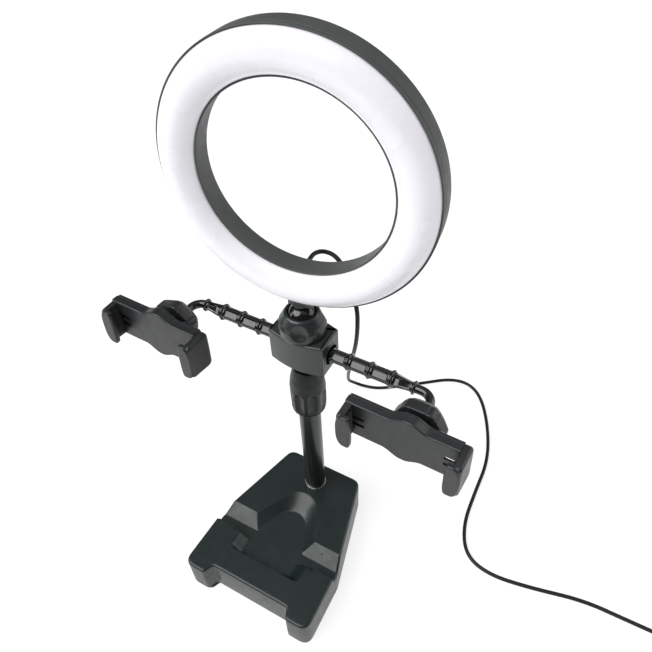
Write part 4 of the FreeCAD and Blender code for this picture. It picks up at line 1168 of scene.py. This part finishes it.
def jaw_parts(place, sign, back):
    """Side wall of a jaw and the paddle-shaped lip across its front."""
    outline = rounded([
        (JAW_FRONT + 0.6, -12.6, 3.4), (back, -14.0, 4.5), (back + 0.2, 0.0, 12), (back, 14.2, 4.5),
        (JAW_FRONT + 0.6, 12.8, 3.4), (JAW_FRONT + 0.5, 0, 12)], closed=True, steps=7)
    flip = place @ Matrix.Diagonal((sign, 1, 1, 1))
    wall = slab("wall", outline, JAW_IN, JAW_OUT, 0.25, 2.2, "yzx", flip)
    paddle = slab("lip", lip_outline(), JAW_FRONT, JAW_FRONT + 3.3, 1.1, 0.6, "xzy", flip)
    return [wall, paddle]


def lip_outline():
    """Bean-shaped lip: nearly straight towards the phone, strongly curved on the outside."""
    low, high, half = JAW_IN - 4.4, JAW_OUT + 0.2, 13.5
    middle = low + 3.6
    out = []
    for k in range(72):
        angle = 2 * math.pi * (k + 0.5) / 72
        c, s = math.cos(angle), math.sin(angle)
        power = 2 / 2.7 if c > 0 else 2 / 4.5
        reach = high - middle if c > 0 else low - middle
        out.append(Vector((middle + reach * abs(c) ** power, half * math.copysign(abs(s) ** power, s))))
    return out


def make_knob(side, prefix, short):
    """Chunky six-sided knob with soft corners, a sloping back and a bore for the neck."""
    profile = rounded([(KNOB_BORE, -4.0, 0.3), (KNOB_RADIUS, -4.0, 1.0), (KNOB_RADIUS, 3.0, 1.2),
                       (KNOB_RADIUS - 3.4, 6.5, 1.0), (9.4, 6.5, 0.3), (KNOB_BORE, 3.6, 0.3)], closed=True)
    segments = 180
    rows = []
    for p in profile:
        row = []
        for turn in turns(segments):
            r = p.x
            if p.x > 9.6:
                reach = hexagon(turn - math.radians(KNOB_TURN[side])) - KNOB_BORE
                r = KNOB_BORE + (p.x - KNOB_BORE) * reach / (KNOB_RADIUS - KNOB_BORE)
            row.append(Vector((r * math.cos(turn), p.y, r * math.sin(turn))) * MM)
        rows.append(row)
    rows.append(rows[0])
    mesh = weld(grid_mesh(f"{prefix}_handle", rows, clamp_frame(side), caps=False))
    add_piece(f"{prefix}_handle", mesh, "clamp", f"knob_{short}", [f"{prefix}_knob"])


def hexagon(turn):
    """Radius of a hexagon with rounded corners."""
    period = math.pi / 3
    off = (turn + period / 2) % period - period / 2
    flat = KNOB_RADIUS * math.cos(period / 2) / math.cos(period / 2 - abs(off))
    return min(flat, KNOB_RADIUS - 1.0 - 0.9 * (off / 0.2) ** 2 if abs(off) < 0.24 else flat)


# ---- block ----


def make_block():
    front = [Vector((19.6 * math.sin(a), -13.4 + 3.4 * (math.sin(a)) ** 2)) for a in
             (math.radians(-90 + 180 * k / 40) for k in range(41))]
    back = [Vector((p.x, -p.y)) for p in reversed(front)]
    corners = [(p.x, p.y, 2.4 if abs(p.x) > 19.5 else 0) for p in front + back]
    outline = rounded(corners, closed=True, steps=5)
    mesh = slab("block", outline, 188.0, 215.0, 1.7, 1.5)
    bores = [lathe("bore", [(0.05, 0, 0), (6.9, 0, 0.4), (6.9, 6, 0), (0.05, 6, 0)],
                   shift(sign * 15.6, 0, ARM_LEVEL) @ turned_about("Y", 90 * sign), 64)
             for sign in (1, -1)]
    mesh = carve(mesh, *bores)
    rims = [lathe("rim", [(6.9, -0.6, 0.1), (6.9, 0.35, 0.3), (8.1, 0.35, 0.45), (8.4, -0.6, 0.1)],
                  shift(sign * 19.6, 0, ARM_LEVEL) @ turned_about("Y", 90 * sign), 64, closed=True)
            for sign in (1, -1)]
    add_piece("block_shell", join_meshes("block_shell", [mesh] + rims), "block", "mast",
              ["block_body", "block_lid"])


# ---- controller and plug ----


def pill(x0, x1, y0, y1, radius):
    corners = [(x0, y0, radius), (x1, y0, radius), (x1, y1, radius), (x0, y1, radius)]
    return rounded(corners, closed=True, steps=6)


CONTROL_Y = 22
BUTTON_SPOTS = (303.0, 316.0, 329.0)
BUTTON_HOLE = 3.22
FLANGE_ROOM = 4.15
WELL_FLOOR = 3.3


def turned_at_buttons(name, profile, segments, closed=False):
    return [lathe(name, profile, shift(x, CONTROL_Y, 0), segments, closed=closed) for x in BUTTON_SPOTS]


def make_controller():
    """Switch box: two blocks with a well under each button, deep enough for its travel."""
    outline = pill(292.0, 340.0, 14.0, 30.0, 5.0)
    lower = slab("controller_tray", outline, 0.0, 4.4, 0.9, 0.2)
    upper = slab("controller_cover", outline, 4.5, 8.9, 0.2, 1.6)
    rings = turned_at_buttons("ring", [(3.25, 8.6, 0.1), (3.25, 9.15, 0.2), (4.1, 9.15, 0.3),
                                       (4.5, 8.6, 0.1)], 40, closed=True)
    lower = carve(lower, *turned_at_buttons("well", [
        (0.05, WELL_FLOOR, 0), (FLANGE_ROOM, WELL_FLOOR, 0), (FLANGE_ROOM, 5.0, 0), (0.05, 5.0, 0)], 48))
    upper = carve(upper, *turned_at_buttons("well", [
        (0.05, 4.0, 0), (FLANGE_ROOM, 4.0, 0), (FLANGE_ROOM, 6.7, 0), (BUTTON_HOLE, 6.7, 0),
        (BUTTON_HOLE, 10.0, 0), (0.05, 10.0, 0)], 48))
    upper = join_meshes("controller_cover", [upper] + rings)
    return [add_piece("controller_tray", lower, "block", "base", ["controller_lower"]),
            add_piece("controller_cover", upper, "block", "base", ["controller_upper"])]


def make_plug():
    """Moulded grip of the plug and its ribbed strain relief."""
    section = rounded([(50.2, 0.0, 2.6), (65.8, 0.0, 2.6), (65.8, 8.2, 2.6), (50.2, 8.2, 2.6)],
                      closed=True, steps=6)
    grip = slab("grip", section, 305.0, 327.0, 0.8, 1.8, "yzx")
    relief = lathe("relief", [
        (0.3, 0, 0), (3.1, 0, 0.3), (3.0, 1.2, 0.2), (2.5, 1.4, 0.1), (2.5, 2.2, 0.1), (2.9, 2.5, 0.2),
        (2.7, 3.6, 0.2), (2.25, 3.8, 0.1), (2.25, 4.6, 0.1), (2.5, 4.9, 0.2), (2.3, 6.0, 0.2),
        (1.95, 6.3, 0.1), (1.95, 7.2, 0.1), (2.1, 7.4, 0.1), (1.75, 9.0, 0.2), (0.3, 9.0, 0),
    ], shift(327.0, 58.0, 4.2) @ turned_about("Y", 90), 40)
    mesh = join_meshes("plug_body", [grip, relief])
    return add_piece("plug_body", mesh, "block", "base", ["plug_grip"])


# ---- floor and light ----


FLOOR_GLOW = 0.8
ROOM_GLOW = 0.09


def make_stage():
    """White paper floor; its own glow keeps the object's shadow as faint as in the photo."""
    bpy.ops.mesh.primitive_plane_add(size=6, location=(0, 0.5, -0.0004))
    floor = bpy.context.object
    floor.name = "floor"
    n = Nodes("floor_paper")
    n.feed("Base Color", n.tint(n.noise(3), (0.24, 0.24, 0.24), (0.26, 0.26, 0.26)))
    n.set(Roughness=0.9, Emission_Color=(1, 1, 1, 1), Emission_Strength=FLOOR_GLOW)
    floor.data.materials.append(n.material)


def add_light(name, at, aim, size, power, colour=(1, 1, 1)):
    data = bpy.data.lights.new(name, "AREA")
    data.shape = "RECTANGLE"
    data.size, data.size_y = size
    data.energy = power
    data.color = colour
    lamp = put(name, data)
    lamp.location = at
    lamp.rotation_mode = "QUATERNION"
    lamp.rotation_quaternion = (Vector(aim) - Vector(at)).to_track_quat("-Z", "Y")


def add_sun(name, way, strength, spread):
    """Light from a direction; spread is how wide it looks, in degrees."""
    data = bpy.data.lights.new(name, "SUN")
    data.energy = strength
    data.angle = math.radians(spread)
    lamp = put(name, data)
    lamp.rotation_mode = "QUATERNION"
    lamp.rotation_quaternion = (-Vector(way)).to_track_quat("-Z", "Y")
    lamp.location = Vector(way)


def make_light():
    """A dim room behind a white backdrop, one broad key from the front and softer fills."""
    world = bpy.data.worlds.new("studio")
    bpy.context.scene.world = world
    world.use_nodes = True
    tree = world.node_tree
    room = tree.nodes["Background"]
    room.inputs["Color"].default_value = (1, 1, 1, 1)
    room.inputs["Strength"].default_value = ROOM_GLOW
    backdrop = tree.nodes.new("ShaderNodeBackground")
    backdrop.inputs["Color"].default_value = (1, 1, 1, 1)
    seen = tree.nodes.new("ShaderNodeLightPath")
    choice = tree.nodes.new("ShaderNodeMixShader")
    tree.links.new(seen.outputs["Is Camera Ray"], choice.inputs["Fac"])
    tree.links.new(room.outputs["Background"], choice.inputs[1])
    tree.links.new(backdrop.outputs["Background"], choice.inputs[2])
    tree.links.new(choice.outputs["Shader"], tree.nodes["World Output"].inputs["Surface"])
    add_sun("key", (-0.36, -0.50, 0.79), 3.15, 54)
    add_sun("top", (0.25, 0.35, 1.0), 0.5, 90)
    add_sun("low_back", (0.7, 0.6, 0.4), 0.9, 50)
    add_light("left_strip", (-1.3, -0.7, 0.75), (0, 0, 0.2), (0.35, 1.3), 4)
    bpy.context.scene.view_settings.view_transform = "Standard"


make_camera()
dress_cad_nodes()
make_cord()
make_lamp()
make_gland()
make_mast()
make_head_nut()
make_ball()
make_arm(1, "arm_right", "arm_r")
make_arm(-1, "arm_left", "arm_l")
make_clamp(1, "clamp_right", "r")
make_clamp(-1, "clamp_left", "l")
make_base()
make_block()
soften("ring_stem", 0.6 * MM, 2)
make_stage()
make_light()
